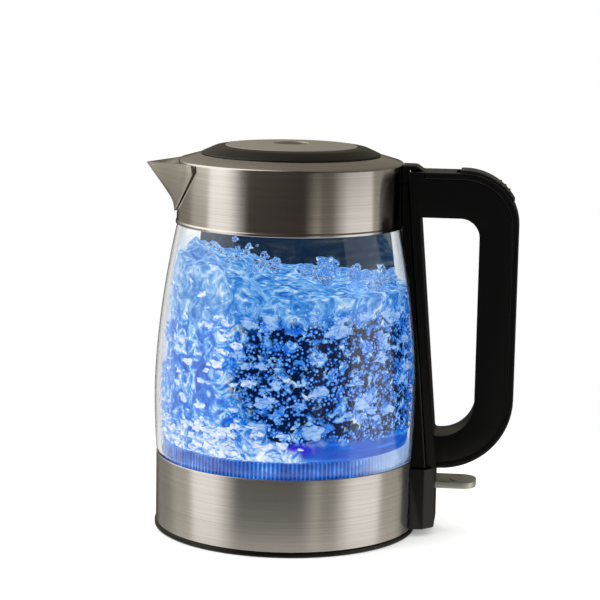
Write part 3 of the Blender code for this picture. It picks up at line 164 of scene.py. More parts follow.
# the paper fades into the white surroundings
place = add_node(tree, "ShaderNodeTexCoord", {}, {})
away = add_node(tree, "ShaderNodeVectorMath", {"operation": "LENGTH"}, {0: place.outputs["Object"]})
add_node(
    tree, "ShaderNodeMapRange", {"interpolation_type": "SMOOTHSTEP"},
    {"Value": away.outputs["Value"], "From Min": 0.10, "From Max": 0.34, "To Min": 1.0, "To Max": 0.0},
    {0: shader.inputs["Alpha"]},
)
floor.data.materials.append(paper)
floor.visible_glossy = False

# %% [markdown]
# The tent is a tall cylinder that gives off light. Cards could be set up one by one as planes, but a streak's
# place on the steel depends on the card's direction only, so one cylinder with a list of greys by direction
# is easier to tune. A second list holds for what faces up, which is the collar's shoulder and the lid, and
# one grey for what faces down.

# %% The tent of cards
TENT_RADIUS = 3.0
TENT_LOW, TENT_HIGH = -2.5, 4.0
CARD_GREYS = {"black": "#302d2a", "dim": "#6c685f", "middle": "#908c81", "white": "#e0dcd7"}
CARDS = (
    # from and to, in degrees round the kettle from the camera towards the handle, and the card's grey
    (-180, -158, "black"), (-148, -122, "dim"), (-112, -92, "middle"), (-86, -62, "white"),
    (-42, 14, "black"), (26, 28, "middle"), (32, 42, "dim"), (60, 88, "white"), (92, 118, "middle"),
    (130, 180, "black"),
)
card_edges = [(edge / 360 + 0.5, CARD_GREYS[grey]) for start, end, grey in CARDS for edge in (start, end)]
bpy.ops.mesh.primitive_cylinder_add(
    vertices=96, radius=TENT_RADIUS, depth=TENT_HIGH - TENT_LOW, location=(0, 0, (TENT_LOW + TENT_HIGH) / 2)
)
tent = bpy.context.object
tent.name = "card_tent"
bpy.ops.object.transform_apply(location=True, rotation=True, scale=True)
cards = bpy.data.materials.new("grey_and_white_cards")
cards.use_nodes = True
tree = cards.node_tree
tree.nodes.clear()
place = add_node(tree, "ShaderNodeTexCoord", {}, {})
camera_side = math.atan2(camera.location.y, camera.location.x)
turned_place = add_node(
    tree, "ShaderNodeMapping", {}, {"Vector": place.outputs["Object"], "Rotation": (0, 0, -camera_side)}
)
split = add_node(tree, "ShaderNodeSeparateXYZ", {}, {"Vector": turned_place.outputs["Vector"]})
angle = add_node(
    tree, "ShaderNodeMath", {"operation": "ARCTAN2"}, {0: split.outputs["Y"], 1: split.outputs["X"]}
)
share = add_node(
    tree, "ShaderNodeMapRange", {},
    {"Value": angle.outputs[0], "From Min": -math.pi, "From Max": math.pi, "To Min": 0.0, "To Max": 1.0},
)
walls = add_node(
    tree, "ShaderNodeValToRGB", {"stops": card_edges},
    {"Fac": share.outputs[0]},
)
HIGH_CARDS = (
    (-180, "#6a645a"), (-144, "#8f897e"), (-122, "#fffaf3"), (-72, "#fffaf3"), (-50, "#4c463e"),
    (20, "#2b2723"), (60, "#544e46"), (108, "#5c5950"), (180, "#6a645a"),
)
high = add_node(
    tree, "ShaderNodeValToRGB", {"stops": [(degrees / 360 + 0.5, grey) for degrees, grey in HIGH_CARDS]},
    {"Fac": share.outputs[0]},
)
upper = add_node(
    tree, "ShaderNodeMapRange", {"interpolation_type": "SMOOTHSTEP"},
    {"Value": split.outputs["Z"], "From Min": 0.15, "From Max": 0.7},
)
above = add_node(
    tree, "ShaderNodeMix", {"data_type": "RGBA"},
    {"Factor": upper.outputs[0], 6: walls.outputs[0], 7: high.outputs[0]},
)
# what faces down sees the pale table
table = add_node(
    tree, "ShaderNodeMapRange", {"interpolation_type": "SMOOTHSTEP"},
    {"Value": split.outputs["Z"], "From Min": -1.0, "From Max": -1.8},
)
level = add_node(
    tree, "ShaderNodeMix", {"data_type": "RGBA"},
    {"Factor": table.outputs[0], 6: above.outputs[2], 7: srgb("#b9b4ab")},
)
glow = add_node(tree, "ShaderNodeEmission", {}, {"Color": level.outputs[2], "Strength": 1.65})
end = add_node(tree, "ShaderNodeOutputMaterial", {}, {"Surface": glow.outputs[0]})
cards.cycles.emission_sampling = "NONE"
tent.data.materials.append(cards)
tent.visible_camera = False
tent.visible_diffuse = False
tent.visible_transmission = False
tent.visible_shadow = False

# %% [markdown]
# Clear glass on white has no edge. One dark card behind the jug gives it one, and another behind the camera
# keeps white out of the reflections in its walls. Nothing but a ray that has gone through glass meets them.

# %% Dark cards seen through the glass
DARK_CARDS = (
    # name, place seen from the camera's side, width and height, colour
    ("dark_card_behind_jug", (0.010, 0.30, 0.10), (0.182, 0.40), "#05080b"),
    ("dark_card_behind_camera", (0.0, -1.60, 0.40), (5.0, 3.6), "#06090d"),
)
for name, spot, (width, height), colour in DARK_CARDS:
    bpy.ops.mesh.primitive_plane_add(size=1.0)
    dark_card = bpy.context.object
    dark_card.name = name
    upright = Matrix.Rotation(CAMERA_TURN, 4, "Z") @ Matrix.Translation(spot)
    upright = upright @ Matrix.Rotation(math.radians(90), 4, "X") @ Matrix.Diagonal((width, height, 1, 1))
    dark_card.data.transform(upright)
    black_card, tree, shader = finish_of(name, "#060708", 0.9)
    shader.inputs["Specular IOR Level"].default_value = 0.0
    shader.inputs["Emission Color"].default_value = srgb(colour)
    shader.inputs["Emission Strength"].default_value = 1.0
    dark_card.data.materials.append(black_card)
    dark_card.visible_camera = False
    dark_card.visible_diffuse = False
    dark_card.visible_glossy = False
    dark_card.visible_shadow = False

# %% [markdown]
# Three large square lights stand above, left and right. They are wide for their distance, so shadows come
# out soft, and reflections don't show them, since the tent makes the reflections.

# %% Soft lights
def soft_box(name, place, size, power):
    """A large square light that looks at the middle of the kettle."""
    bpy.ops.object.light_add(type="AREA", location=place)
    light = bpy.context.object
    light.name = name
    light.data.size = size
    light.data.energy = power
    light.rotation_euler = (Vector((0, 0, 0.12)) - Vector(place)).to_track_quat("-Z", "Y").to_euler()
    light.visible_glossy = False
    light.visible_camera = False
    light.visible_transmission = False


soft_box("overhead_light", (0.0, 0.1, 1.8), 1.6, 14.0)
soft_box("left_light", (-1.5, -0.9, 0.9), 1.0, 9.0)
soft_box("right_light", (1.4, -0.8, 0.7), 0.8, 5.0)

# %% [markdown]
# ## Steel
#
# Collar, spout and band are stainless sheet, brushed round the jug by an abrasive belt. The scratches are
# finer than a tenth of a millimetre, too fine to show from here, so they are drawn half a millimetre apart.
# A brushed surface spreads a reflection across its scratches: the anisotropic shader, turned by a quarter,
# stretches it upright. The lid's disc is spun on a lathe instead, which leaves fine rings.
#
# The other metals have only a fine grain: one function makes them all, with the grain's own size.

# %% Brushed and satin steel
BRUSH_LINE = 0.0005


def brushed_stainless(name, colour, roughness, stretch, metallic=1.0):
    """Stainless steel brushed round the Z axis."""
    made, tree, shader = finish_of(
        name, colour, roughness, metallic, Anisotropic=stretch, Anisotropic_Rotation=0.25
    )
    lines = grain(tree, (9.0, 9.0, 1 / BRUSH_LINE), 3.0)
    tone = add_node(
        tree, "ShaderNodeValToRGB", {"stops": [(0.30, "#c4c3c1"), (0.70, "#ffffff")]}, {"Fac": lines}
    )
    tint = add_node(
        tree, "ShaderNodeMix", {"data_type": "RGBA", "blend_type": "MULTIPLY"},
        {"Factor": 0.35, 6: srgb(colour), 7: tone.outputs[0]},
    )
    tree.links.new(tint.outputs[2], shader.inputs["Base Color"])
    around = add_node(tree, "ShaderNodeTangent", {"direction_type": "RADIAL", "axis": "Z"}, {})
    tree.links.new(around.outputs["Tangent"], shader.inputs["Tangent"])
    add_node(
        tree, "ShaderNodeBump", {}, {"Height": lines, "Distance": 0.00001, "Strength": 0.5},
        {"Normal": shader.inputs["Normal"]},
    )
    return made


def grained_metal(name, colour, roughness, metallic, scale, depth, strength):
    """A metal with grain: a scale for each axis in grains per metre, and a depth in metres."""
    made, tree, shader = finish_of(name, colour, roughness, metallic)
    add_node(
        tree, "ShaderNodeBump", {}, {"Height": grain(tree, scale), "Distance": depth, "Strength": strength},
        {"Normal": shader.inputs["Normal"]},
    )
    return made


COLLAR_STEEL = brushed_stainless("brushed_stainless_collar", "#d1cecb", 0.17, 0.8)
BAND_STEEL = brushed_stainless("brushed_stainless_band", "#cecbc8", 0.24, 0.75, 0.94)
SPOUT_STEEL = brushed_stainless("brushed_stainless_spout", "#ece9e4", 0.30, 0.4)

DISC_STEEL, tree, shader = finish_of("spun_stainless_disc", "#d0cbc2", 0.40, 0.9)
spun = add_node(tree, "ShaderNodeTexCoord", {}, {})
ring_lines = add_node(
    tree, "ShaderNodeTexWave", {"wave_type": "RINGS", "rings_direction": "Z"},
    {"Vector": spun.outputs["Object"], "Scale": 700.0, "Distortion": 0.6, "Detail": 2.0},
)
add_node(
    tree, "ShaderNodeBump", {},
    {"Height": ring_lines.outputs["Fac"], "Distance": 0.000008, "Strength": 0.5},
    {"Normal": shader.inputs["Normal"]},
)

# the lid's inner plate and the heating plate are satin rolled sheet
SATIN_STEEL = grained_metal("satin_stainless", "#c4beb6", 0.34, 1.0, (1600.0,) * 3, 0.00001, 0.6)
# the lever is brushed lengthwise, so its grain is finest across it
LEVER_STEEL = grained_metal(
    "lever_satin_plate", "#b9b5ad", 0.38, 0.8, (300.0, 2500.0, 300.0), 0.00001, 0.6
)
# springs, pins and screws are drawn wire
SPRING_STEEL = grained_metal(
    "drawn_spring_steel", "#b9b9ba", 0.28, 1.0, (300.0, 3000.0, 3000.0), 0.00001, 0.5
)
# the heat diffuser under the plate is cast, and the connector's contacts are drawn
CAST_ALUMINIUM = grained_metal("die_cast_aluminium", "#c6c8ca", 0.42, 1.0, (700.0,) * 3, 0.00003, 0.6)
BRASS = grained_metal("drawn_brass", "#d8b25a", 0.28, 1.0, (250.0, 250.0, 2500.0), 0.00001, 0.5)
print("metals made:", [made.name for made in (COLLAR_STEEL, DISC_STEEL, SATIN_STEEL, CAST_ALUMINIUM, BRASS)])

# %% [markdown]
# ## Plastics and rubber
#
# Handle, spine and base are injection moulded polypropylene, pigmented black, with a fine spark-eroded
# grain that softens its highlights. The hidden parts are glass-filled nylon, which comes out duller. Seals
# are silicone, milky and soft. One function makes them all: a pigment, a gloss, and grain of a real size
# that varies both height and gloss.

# %% Black polypropylene, nylon, silicone
PLASTIC_IOR = 1.49


def moulded(name, colour, roughness, grain_size, depth):
    """A moulded plastic with grain of a real size in metres."""
    made, tree, shader = finish_of(
        name, colour, roughness, 0.0, IOR=PLASTIC_IOR, Specular_IOR_Level=0.3
    )
    speckle = grain(tree, (1 / grain_size,) * 3, 3.0)
    rough = add_node(
        tree, "ShaderNodeMapRange", {},
        {"Value": speckle, "To Min": roughness * 0.85, "To Max": roughness * 1.2},
    )
    tree.links.new(rough.outputs[0], shader.inputs["Roughness"])
    add_node(
        tree, "ShaderNodeBump", {}, {"Height": speckle, "Distance": depth, "Strength": 0.6},
        {"Normal": shader.inputs["Normal"]},
    )
    return made


BLACK_PP = moulded("black_polypropylene", "#060607", 0.30, 0.0006, 0.000012)
# the lid's ring is a shade browner than the handle
LID_PP = moulded("black_polypropylene_lid", "#0e0c0a", 0.32, 0.0006, 0.000012)
# hidden mouldings: liner, latch, hinge, thermostat
DARK_NYLON = moulded("glass_filled_nylon", "#303032", 0.55, 0.0009, 0.00002)
# the button is polished by the thumb
BUTTON_PP = moulded("black_polypropylene_button", "#121213", 0.26, 0.0006, 0.00001)
# the switch housing has a duller skin
HOUSING_PP = moulded("black_polypropylene_housing", "#0c0c0d", 0.34, 0.0007, 0.000012)
# the lid's badge is a plain satin disc
BADGE_PP = moulded("dark_satin_disc", "#4a463d", 0.45, 0.0005, 0.00001)
# seals, wires and the light's board
SILICONE = moulded("milky_silicone", "#d9d8d2", 0.50, 0.0012, 0.00001)
RED_PVC = moulded("red_wire_insulation", "#c22418", 0.42, 0.0010, 0.00001)
EPOXY_BOARD = moulded("green_epoxy_board", "#0f6b34", 0.38, 0.0015, 0.00001)

# %% [markdown]
# ## Glass
#
# The jug is blown borosilicate glass, 2.5 mm thick. It is left clear, with both its walls modelled, so that
# the shader bends and reflects light as the real wall does. Fire polishing leaves it free of any grain, but
# a blown wall is never quite even: a very slow wave in it shows in its reflections.

# %% Borosilicate glass
GLASS, tree, shader = finish_of("blown_borosilicate_glass", "#fbfefe", 0.0, 0.0, IOR=1.47)
shader.inputs["Transmission Weight"].default_value = 1.0
add_node(
    tree, "ShaderNodeBump", {},
    {"Height": grain(tree, (16.0, 16.0, 7.0), 1.0), "Distance": 0.0004, "Strength": 0.25},
    {"Normal": shader.inputs["Normal"]},
)

# %% [markdown]
# ## Lit water and its light ring
#
# Blue lamps in the base shine up into the water, so the water itself glows where bubbles scatter the
# light. Tracing that light through so many bubbles would take very long, so its colour is given off by the
# surface instead. Masks across the jug keep the churned side, the froth, the calm foot and the clear dark
# middle apart. The ring at the glass's foot is a clear acrylic light guide with fine upright ribs.

# %% Light ring
RIBS_ROUND = 190
LIGHT_GUIDE, tree, shader = finish_of(
    "lit_acrylic_ring", "#06235c", 0.18, 0.0, IOR=PLASTIC_IOR, Specular_IOR_Level=0.15
)
place = add_node(tree, "ShaderNodeTexCoord", {}, {})
turned_place = add_node(
    tree, "ShaderNodeMapping", {}, {"Vector": place.outputs["Object"], "Rotation": (0, 0, -CAMERA_TURN)}
)
split = add_node(tree, "ShaderNodeSeparateXYZ", {}, {"Vector": turned_place.outputs["Vector"]})
angle = add_node(
    tree, "ShaderNodeMath", {"operation": "ARCTAN2"}, {0: split.outputs["Y"], 1: split.outputs["X"]}
)
turns = add_node(tree, "ShaderNodeMath", {"operation": "MULTIPLY"}, {0: angle.outputs[0], 1: RIBS_ROUND})
wave = add_node(tree, "ShaderNodeMath", {"operation": "SINE"}, {0: turns.outputs[0]})
uneven = add_node(
    tree, "ShaderNodeMath", {"operation": "MULTIPLY_ADD"},
    {0: wave.outputs[0], 1: 0.22, 2: grain(tree, (90.0, 90.0, 160.0), 3.0)},
)
ribs = add_node(
    tree, "ShaderNodeValToRGB",
    {"stops": [(0.20, "#022a80"), (0.50, "#0553bc"), (0.74, "#2580de"), (0.90, "#7fb8f2")]},
    {"Fac": uneven.outputs[0]},
)
# painted sheen: the ring's glow goes pale towards the handle's side, as seen from the camera
painted_sheen_share = add_node(
    tree, "ShaderNodeMapRange", {"interpolation_type": "SMOOTHSTEP"},
    {"Value": split.outputs["X"], "From Min": 0.034, "From Max": 0.062, "To Max": 0.75},
)
painted_pale_sheen = add_node(
    tree, "ShaderNodeMix", {"data_type": "RGBA"},
    {"Factor": painted_sheen_share.outputs[0], 6: ribs.outputs[0], 7: srgb("#b9cfee")},
    {2: shader.inputs["Emission Color"]},
)
shader.inputs["Emission Strength"].default_value = 1.0

# %% [markdown]
# The water's painted glow is built up in layers on one surface. Painted on, it would fit one side only, so
# each layer is a pattern in space, and holds from every side. Slow noise bends the masks' edges.

# %% Masks in the water
WATER_IOR = 1.33
WATER, tree, shader = finish_of(
    "boiling_water_lit_blue", "#010a1e", 0.14, 0.0, IOR=WATER_IOR, Specular_IOR_Level=0.08
)
place = add_node(tree, "ShaderNodeTexCoord", {}, {})
turned_place = add_node(
    tree, "ShaderNodeMapping", {}, {"Vector": place.outputs["Object"], "Rotation": (0, 0, -CAMERA_TURN)}
)
split = add_node(tree, "ShaderNodeSeparateXYZ", {}, {"Vector": turned_place.outputs["Vector"]})
drift = grain(tree, (42.0, 42.0, 42.0), 3.0)
across = add_node(
    tree, "ShaderNodeMath", {"operation": "MULTIPLY_ADD"}, {0: drift, 1: 0.060, 2: split.outputs["X"]}
)
level = add_node(
    tree, "ShaderNodeMath", {"operation": "MULTIPLY_ADD"}, {0: drift, 1: 0.026, 2: split.outputs["Z"]}
)


# each mask goes smoothly from 0 to 1 between two places
MASKS = (
    ("churned", across, 0.010, -0.004), ("surface", level, 0.1400, 0.1480), ("low", level, 0.0800, 0.0740),
    ("left", across, 0.046, 0.034),
)
masks = {}
for name, value, start, stop in MASKS:
    masks[name] = add_node(
        tree, "ShaderNodeMapRange", {"interpolation_type": "SMOOTHSTEP"},
        {"Value": value.outputs[0], "From Min": start, "From Max": stop},
    )
low_left = add_node(
    tree, "ShaderNodeMath", {"operation": "MULTIPLY"},
    {0: masks["low"].outputs[0], 1: masks["left"].outputs[0]},
)

# %% [markdown]
# Swirls are noise bent by itself, lumps a coarser noise, and the smallest bubbles a cell pattern of 2.3 mm.
# Each pattern goes through a ramp of blues, from the clear water's navy to the white of foam.

# %% Patterns in the water
swirls = add_node(
    tree, "ShaderNodeTexNoise", {},
    {
        "Vector": place.outputs["Object"], "Scale": 105.0, "Detail": 9.0, "Roughness": 0.64,
        "Distortion": 1.5,
    },
)
lumps = add_node(
    tree, "ShaderNodeTexNoise", {},
    {
        "Vector": place.outputs["Object"], "Scale": 170.0, "Detail": 6.0, "Roughness": 0.60,
        "Distortion": 0.5,
    },
)
fine = add_node(
    tree, "ShaderNodeTexVoronoi", {}, {"Vector": place.outputs["Object"], "Scale": 430.0, "Randomness": 1.0}
)
streaks = grain(tree, (22.0, 22.0, 260.0), 3.0)
BLUES = {
    "bubble dots": (fine.outputs["Distance"], [(0.20, "#5a9ff2"), (0.34, "#1553b4"), (0.46, "#02143a")]),
    "lump share": (lumps.outputs["Fac"], [(0.50, "#000000"), (0.57, "#ffffff")]),
    "lumps": (
        swirls.outputs["Fac"],
        [(0.35, "#0d5cdc"), (0.48, "#3f8ef0"), (0.58, "#9ccbfb"), (0.68, "#e4f1ff")],
    ),
    "churned": (
        swirls.outputs["Fac"],
        [(0.32, "#0046b4"), (0.43, "#0066dc"), (0.51, "#2f8eee"), (0.57, "#94cbf9"), (0.65, "#f4faff")],
    ),
    "froth": (
        swirls.outputs["Fac"], [(0.32, "#0a58d0"), (0.42, "#4a94ee"), (0.49, "#b4d6fb"), (0.58, "#fdfeff")],
    ),
    "calm": (streaks, [(0.32, "#0040b0"), (0.50, "#005ad0"), (0.62, "#2084ea"), (0.74, "#74bbf8")]),
    "haze": (
        swirls.outputs["Fac"],
        [(0.32, "#0d58bc"), (0.46, "#3c8adc"), (0.55, "#7fb8f0"), (0.66, "#dcedfc")],
    ),
}
blues = {
    name: add_node(tree, "ShaderNodeValToRGB", {"stops": stops}, {"Fac": value}).outputs[0]
    for name, (value, stops) in BLUES.items()
}
# a violet lamp shows through the calm foot of the water
lamp = add_node(
    tree, "ShaderNodeVectorMath", {"operation": "MULTIPLY"},
    {0: turned_place.outputs["Vector"], 1: (1.0, 0.0, 3.0)},
)
lamp_away = add_node(
    tree, "ShaderNodeVectorMath", {"operation": "DISTANCE"},
    {0: lamp.outputs[0], 1: (0.006, 0.0, 0.183)},
)
lamp_share = add_node(
    tree, "ShaderNodeMapRange", {"interpolation_type": "SMOOTHSTEP"},
    {"Value": lamp_away.outputs["Value"], "From Min": 0.016, "From Max": 0.004},
)
# the layers, from the clear middle to the surface
LAYERS = (
    (blues["lump share"], blues["lumps"]), (masks["churned"].outputs[0], blues["churned"]),
    (masks["low"].outputs[0], blues["calm"]), (lamp_share.outputs[0], srgb("#2a14d0")),
    (low_left.outputs[0], blues["froth"]), (masks["surface"].outputs[0], blues["haze"]),
)
lit = blues["bubble dots"]
for factor, colour in LAYERS:
    layer = add_node(tree, "ShaderNodeMix", {"data_type": "RGBA"}, {"Factor": factor, 6: lit, 7: colour})
    lit = layer.outputs[2]
# the layered blues are given off as painted glow, standing in for the lamps' light scattered by the bubbles
tree.links.new(lit, shader.inputs["Emission Color"])
shader.inputs["Emission Strength"].default_value = 1.0

# %% [markdown]
# A bubble in lit water is given pale painted light on the side turned to the glass, and painted shade, a
# deeper blue, round its flanks. The side is found from the surface's own normal and the way out from the
# jug's axis, so it stays put from wherever the kettle is seen. Foam is many bubbles at once, so its painted
# glow goes nearly white. Drops thrown clear of the surface are plain water, and bend light, with a faint
# painted blue glow.

# %% Bubbles, foam and clear splashes
def lit_bubbles(name, glass_side_light, rim, strength):
    """Bubbles that glow with painted blue light: pale painted light towards the glass, and painted shade, a
    deeper blue, round the flanks.
    """
    made, tree, shader = finish_of(name, "#04183c", 0.10, 0.0, IOR=WATER_IOR, Specular_IOR_Level=0.15)
    place = add_node(tree, "ShaderNodeTexCoord", {}, {})
    level_way = add_node(
        tree, "ShaderNodeVectorMath", {"operation": "MULTIPLY"},
        {0: place.outputs["Object"], 1: (1.0, 1.0, 0.0)},
    )
    way_out = add_node(tree, "ShaderNodeVectorMath", {"operation": "NORMALIZE"}, {0: level_way.outputs[0]})
    to_glass = add_node(
        tree, "ShaderNodeVectorMath", {"operation": "DOT_PRODUCT"},
        {0: place.outputs["Normal"], 1: way_out.outputs[0]},
    )
    flank_shade_share = add_node(
        tree, "ShaderNodeMath", {"operation": "SUBTRACT"}, {0: 1.0, 1: to_glass.outputs["Value"]}
    )
    mottle = grain(tree, (260.0, 260.0, 260.0), 4.0)
    varied = add_node(
        tree, "ShaderNodeMath", {"operation": "MULTIPLY_ADD"},
        {0: mottle, 1: 0.9, 2: flank_shade_share.outputs[0]},
    )
    # painted light on the side towards the glass, and painted shade in the rim colour round the flanks,
    # mottled by noise
    add_node(
        tree, "ShaderNodeValToRGB", {"stops": [(0.35, glass_side_light), (0.95, rim)]}, {"Fac": varied.outputs[0]},
        {0: shader.inputs["Emission Color"]},
    )
    shader.inputs["Emission Strength"].default_value = strength
    return made


BUBBLE = lit_bubbles("lit_bubble", "#a0cffc", "#0f6bdc", 1.0)
BIG_BUBBLE = lit_bubbles("lit_steam_bubble", "#b3d6fc", "#2a7de8", 0.95)
FOAM = lit_bubbles("lit_foam", "#fbfdff", "#569cf0", 1.0)
# drops thrown up over the surface are clear water, with a faint painted blue glow
SPLASH, tree, shader = finish_of("clear_splash", "#eef5ff", 0.02, 0.0, IOR=WATER_IOR)
shader.inputs["Transmission Weight"].default_value = 1.0
shader.inputs["Emission Color"].default_value = srgb("#3f6ea8")
shader.inputs["Emission Strength"].default_value = 0.12
add_node(
    tree, "ShaderNodeBump", {},
    {"Height": grain(tree, (420.0, 420.0, 420.0)), "Distance": 0.0006, "Strength": 0.7},
    {"Normal": shader.inputs["Normal"]},
)

# %% [markdown]
# What lies inside the kettle keeps the design's own solids, which are plain enough to stay as they are. Each
# gets the finish of its material: nylon, brass, aluminium, silicone, spring steel, epoxy board.

# %% Finishes for the frame's own solids
FINISH_OF_SLOT = {
    "glass": GLASS, "brushed_steel": COLLAR_STEEL, "satin_steel": SATIN_STEEL, "black_plastic": BLACK_PP,
    "dark_plastic": DARK_NYLON, "badge": BADGE_PP, "silicone": SILICONE, "aluminium": CAST_ALUMINIUM,
    "brass": BRASS, "light_guide": LIGHT_GUIDE, "circuit_board": EPOXY_BOARD,
    "spring_steel": SPRING_STEEL, "wire_insulation": RED_PVC,
}
for part in frame["record"]["subparts"]:
    if part["material_slot"] in FINISH_OF_SLOT:
        for material_slot in frame["nodes"][part["node"]].material_slots:
            material_slot.material = FINISH_OF_SLOT[part["material_slot"]]

# %% [markdown]
# ## Modelling
#
# The turned pieces (glass, band, collar, lid) are drawn as half a section, point by point, and spun
# round the jug's axis. The handle's pieces are drawn flat, filled and extruded sideways. The
# functions below do what a modeller does with the keys: extrude a vertex, pick, bevel, spin and cut.

# %% Helpers for drawing and picking
def draw_outline(name, points):
    """One vertex, extruded from point to point. The piece stays in edit mode."""
    bpy.ops.object.select_all(action="DESELECT")
    bpy.ops.mesh.primitive_plane_add(size=0.001)
    piece = bpy.context.object
    piece.name = name
    bpy.ops.object.mode_set(mode="EDIT")
    bpy.ops.mesh.select_mode(type="VERT")
    bpy.ops.mesh.select_all(action="SELECT")
    bpy.ops.mesh.merge(type="CENTER")
    bpy.ops.transform.translate(value=points[0])
    for here, there in zip(points, points[1:]):
        bpy.ops.mesh.extrude_region_move(TRANSFORM_OT_translate={"value": Vector(there) - Vector(here)})
    return piece


def pick(piece, kind, rule):
    """Selects the piece's verts, edges or faces that the rule is true of."""
    bpy.ops.mesh.select_mode(type={"verts": "VERT", "edges": "EDGE", "faces": "FACE"}[kind])
    bpy.ops.mesh.select_all(action="DESELECT")
    mesh = bmesh.from_edit_mesh(piece.data)
    chosen = [part for part in getattr(mesh, kind) if rule(part)]
    for part in chosen:
        part.select_set(True)
    mesh.select_flush_mode()
    bmesh.update_edit_mesh(piece.data)
    return len(chosen)


def close_outline(piece, first, last):
    """Joins the two ends of an outline by an edge."""
    ends = (Vector(first), Vector(last))
    pick(piece, "verts", lambda vert: any((vert.co - end).length < 1e-6 for end in ends))
    bpy.ops.mesh.edge_face_add()


def round_corners(piece, corners):
    """Bevels the outline's vertices at these (place, distance) corners."""
    for place, distance in corners:
        pick(piece, "verts", lambda vert: (vert.co - Vector(place)).length < 1e-6)
        steps = 16 if distance > 0.008 else 4
        bpy.ops.mesh.bevel(offset=distance, segments=steps, affect="VERTICES")


def turned_piece(name, profile, steps=144):
    """A section of (radius, height) or (radius, height, rounding) turned round the Z axis."""
    points = [(radius, 0.0, height) for radius, height, *_ in profile]
    piece = draw_outline(name, points)
    if profile[0][0] > 0 or profile[-1][0] > 0:
        close_outline(piece, points[0], points[-1])
    round_corners(piece, [(point, row[2]) for point, row in zip(points, profile) if len(row) > 2])
    bpy.ops.mesh.select_all(action="SELECT")
    bpy.ops.mesh.spin(steps=steps, angle=2 * math.pi, center=(0, 0, 0), axis=(0, 0, 1))
    bpy.ops.mesh.select_all(action="SELECT")
    bpy.ops.mesh.remove_doubles(threshold=1e-5)
    bpy.ops.mesh.normals_make_consistent(inside=False)
    bpy.ops.object.mode_set(mode="OBJECT")
    return piece


def flat_piece(name, corners, low, high, along="Y"):
    """An outline of (a, b) or (a, b, rounding) corners, filled and extruded from low to high.

    Along Y the corners are (x, z), along Z they are (x, y), and along X they are (y, z).
    """
    place = {"X": lambda a, b: (low, a, b), "Y": lambda a, b: (a, low, b), "Z": lambda a, b: (a, b, low)}
    run = Vector([high - low if axis == along else 0.0 for axis in "XYZ"])
    points = [place[along](*row[:2]) for row in corners]
    piece = draw_outline(name, points)
    close_outline(piece, points[0], points[-1])
    round_corners(piece, [(point, row[2]) for point, row in zip(points, corners) if len(row) > 2])
    bpy.ops.mesh.select_all(action="SELECT")
    bpy.ops.mesh.edge_face_add()
    bpy.ops.mesh.extrude_region_move(TRANSFORM_OT_translate={"value": run})
    bpy.ops.mesh.select_all(action="SELECT")
    bpy.ops.mesh.normals_make_consistent(inside=False)
    bpy.ops.object.mode_set(mode="OBJECT")
    return piece


def arc(centre, radius, start, end, steps):
    """Points of (x, z) on an arc, with angles in degrees from +X towards +Z."""
    angles = [math.radians(start + (end - start) * step / steps) for step in range(steps + 1)]
    return [(centre[0] + radius * math.cos(a), centre[1] + radius * math.sin(a)) for a in angles]

# %% [markdown]
# Holes and slots are cut with blocks, rods and extruded outlines. A moulded edge is then rounded with a
# bevel, since no real edge is sharp, and smooth shading is split where two faces meet at more than an angle.

# %% Helpers for cutting, softening and finishing
def cut(piece, cutter, operation="DIFFERENCE", keep=False):
    """Cuts one piece by another, and removes the cutter."""
    bpy.context.view_layer.objects.active = piece
    modifier = piece.modifiers.new("cut", "BOOLEAN")
    modifier.object = cutter
    modifier.operation = operation
    modifier.solver = "EXACT"
    bpy.ops.object.modifier_apply(modifier=modifier.name)
    if not keep:
        bpy.data.objects.remove(cutter, do_unlink=True)


def box_cutter(low, high):
    """A block between two corners."""
    middle = [(a + b) / 2 for a, b in zip(low, high)]
    size = [b - a for a, b in zip(low, high)]
    bpy.ops.mesh.primitive_cube_add(size=1.0, location=middle, scale=size)
    bpy.ops.object.transform_apply(location=True, rotation=True, scale=True)
    return bpy.context.object


def rod_cutter(radius, start, end):
    """A round rod between two points."""
    run = Vector(end) - Vector(start)
    turn_to = Vector((0, 0, 1)).rotation_difference(run).to_euler()
    middle = (Vector(start) + Vector(end)) / 2
    bpy.ops.mesh.primitive_cylinder_add(
        vertices=48, radius=radius, depth=run.length, location=middle, rotation=turn_to
    )
    bpy.ops.object.transform_apply(location=True, rotation=True, scale=True)
    return bpy.context.object


def soften(piece, offset, rule, segments=3):
    """Bevels the edges that the rule picks."""
    bpy.context.view_layer.objects.active = piece
    bpy.ops.object.mode_set(mode="EDIT")
    found = pick(piece, "edges", rule)
    if found:
        bpy.ops.mesh.bevel(offset=offset, segments=segments, affect="EDGES", clamp_overlap=True)
    bpy.ops.object.mode_set(mode="OBJECT")
    return found


def side_rim(edge):
    """True of an edge between a flat side, which faces along Y, and a wall at right angles to it."""
    if len(edge.link_faces) != 2:
        return False
    facing = sorted(abs(face.normal.y) for face in edge.link_faces)
    return facing[0] < 0.05 and facing[1] > 0.99


def finished(piece, material, body, nodes=(), angle=35):
    """Gives the piece its finish and smooth shading, and puts it on its body in the frame."""
    piece.data.materials.clear()
    piece.data.materials.append(material)
    bpy.ops.object.select_all(action="DESELECT")
    piece.select_set(True)
    bpy.context.view_layer.objects.active = piece
    bpy.ops.object.shade_smooth_by_angle(angle=math.radians(angle))
    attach(piece, body)
    if nodes:
        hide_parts(*nodes)
    size = [round(1000 * value, 1) for value in piece.dimensions]
    print(piece.name, size, "mm,", len(piece.data.polygons), "faces")
    return piece

# %% [markdown]
# ## Sizes
#
# The named sizes are the ones of the design, in metres. Heights are above the table and radii from the
# jug's axis. The handle points along +X and the spout along -X.

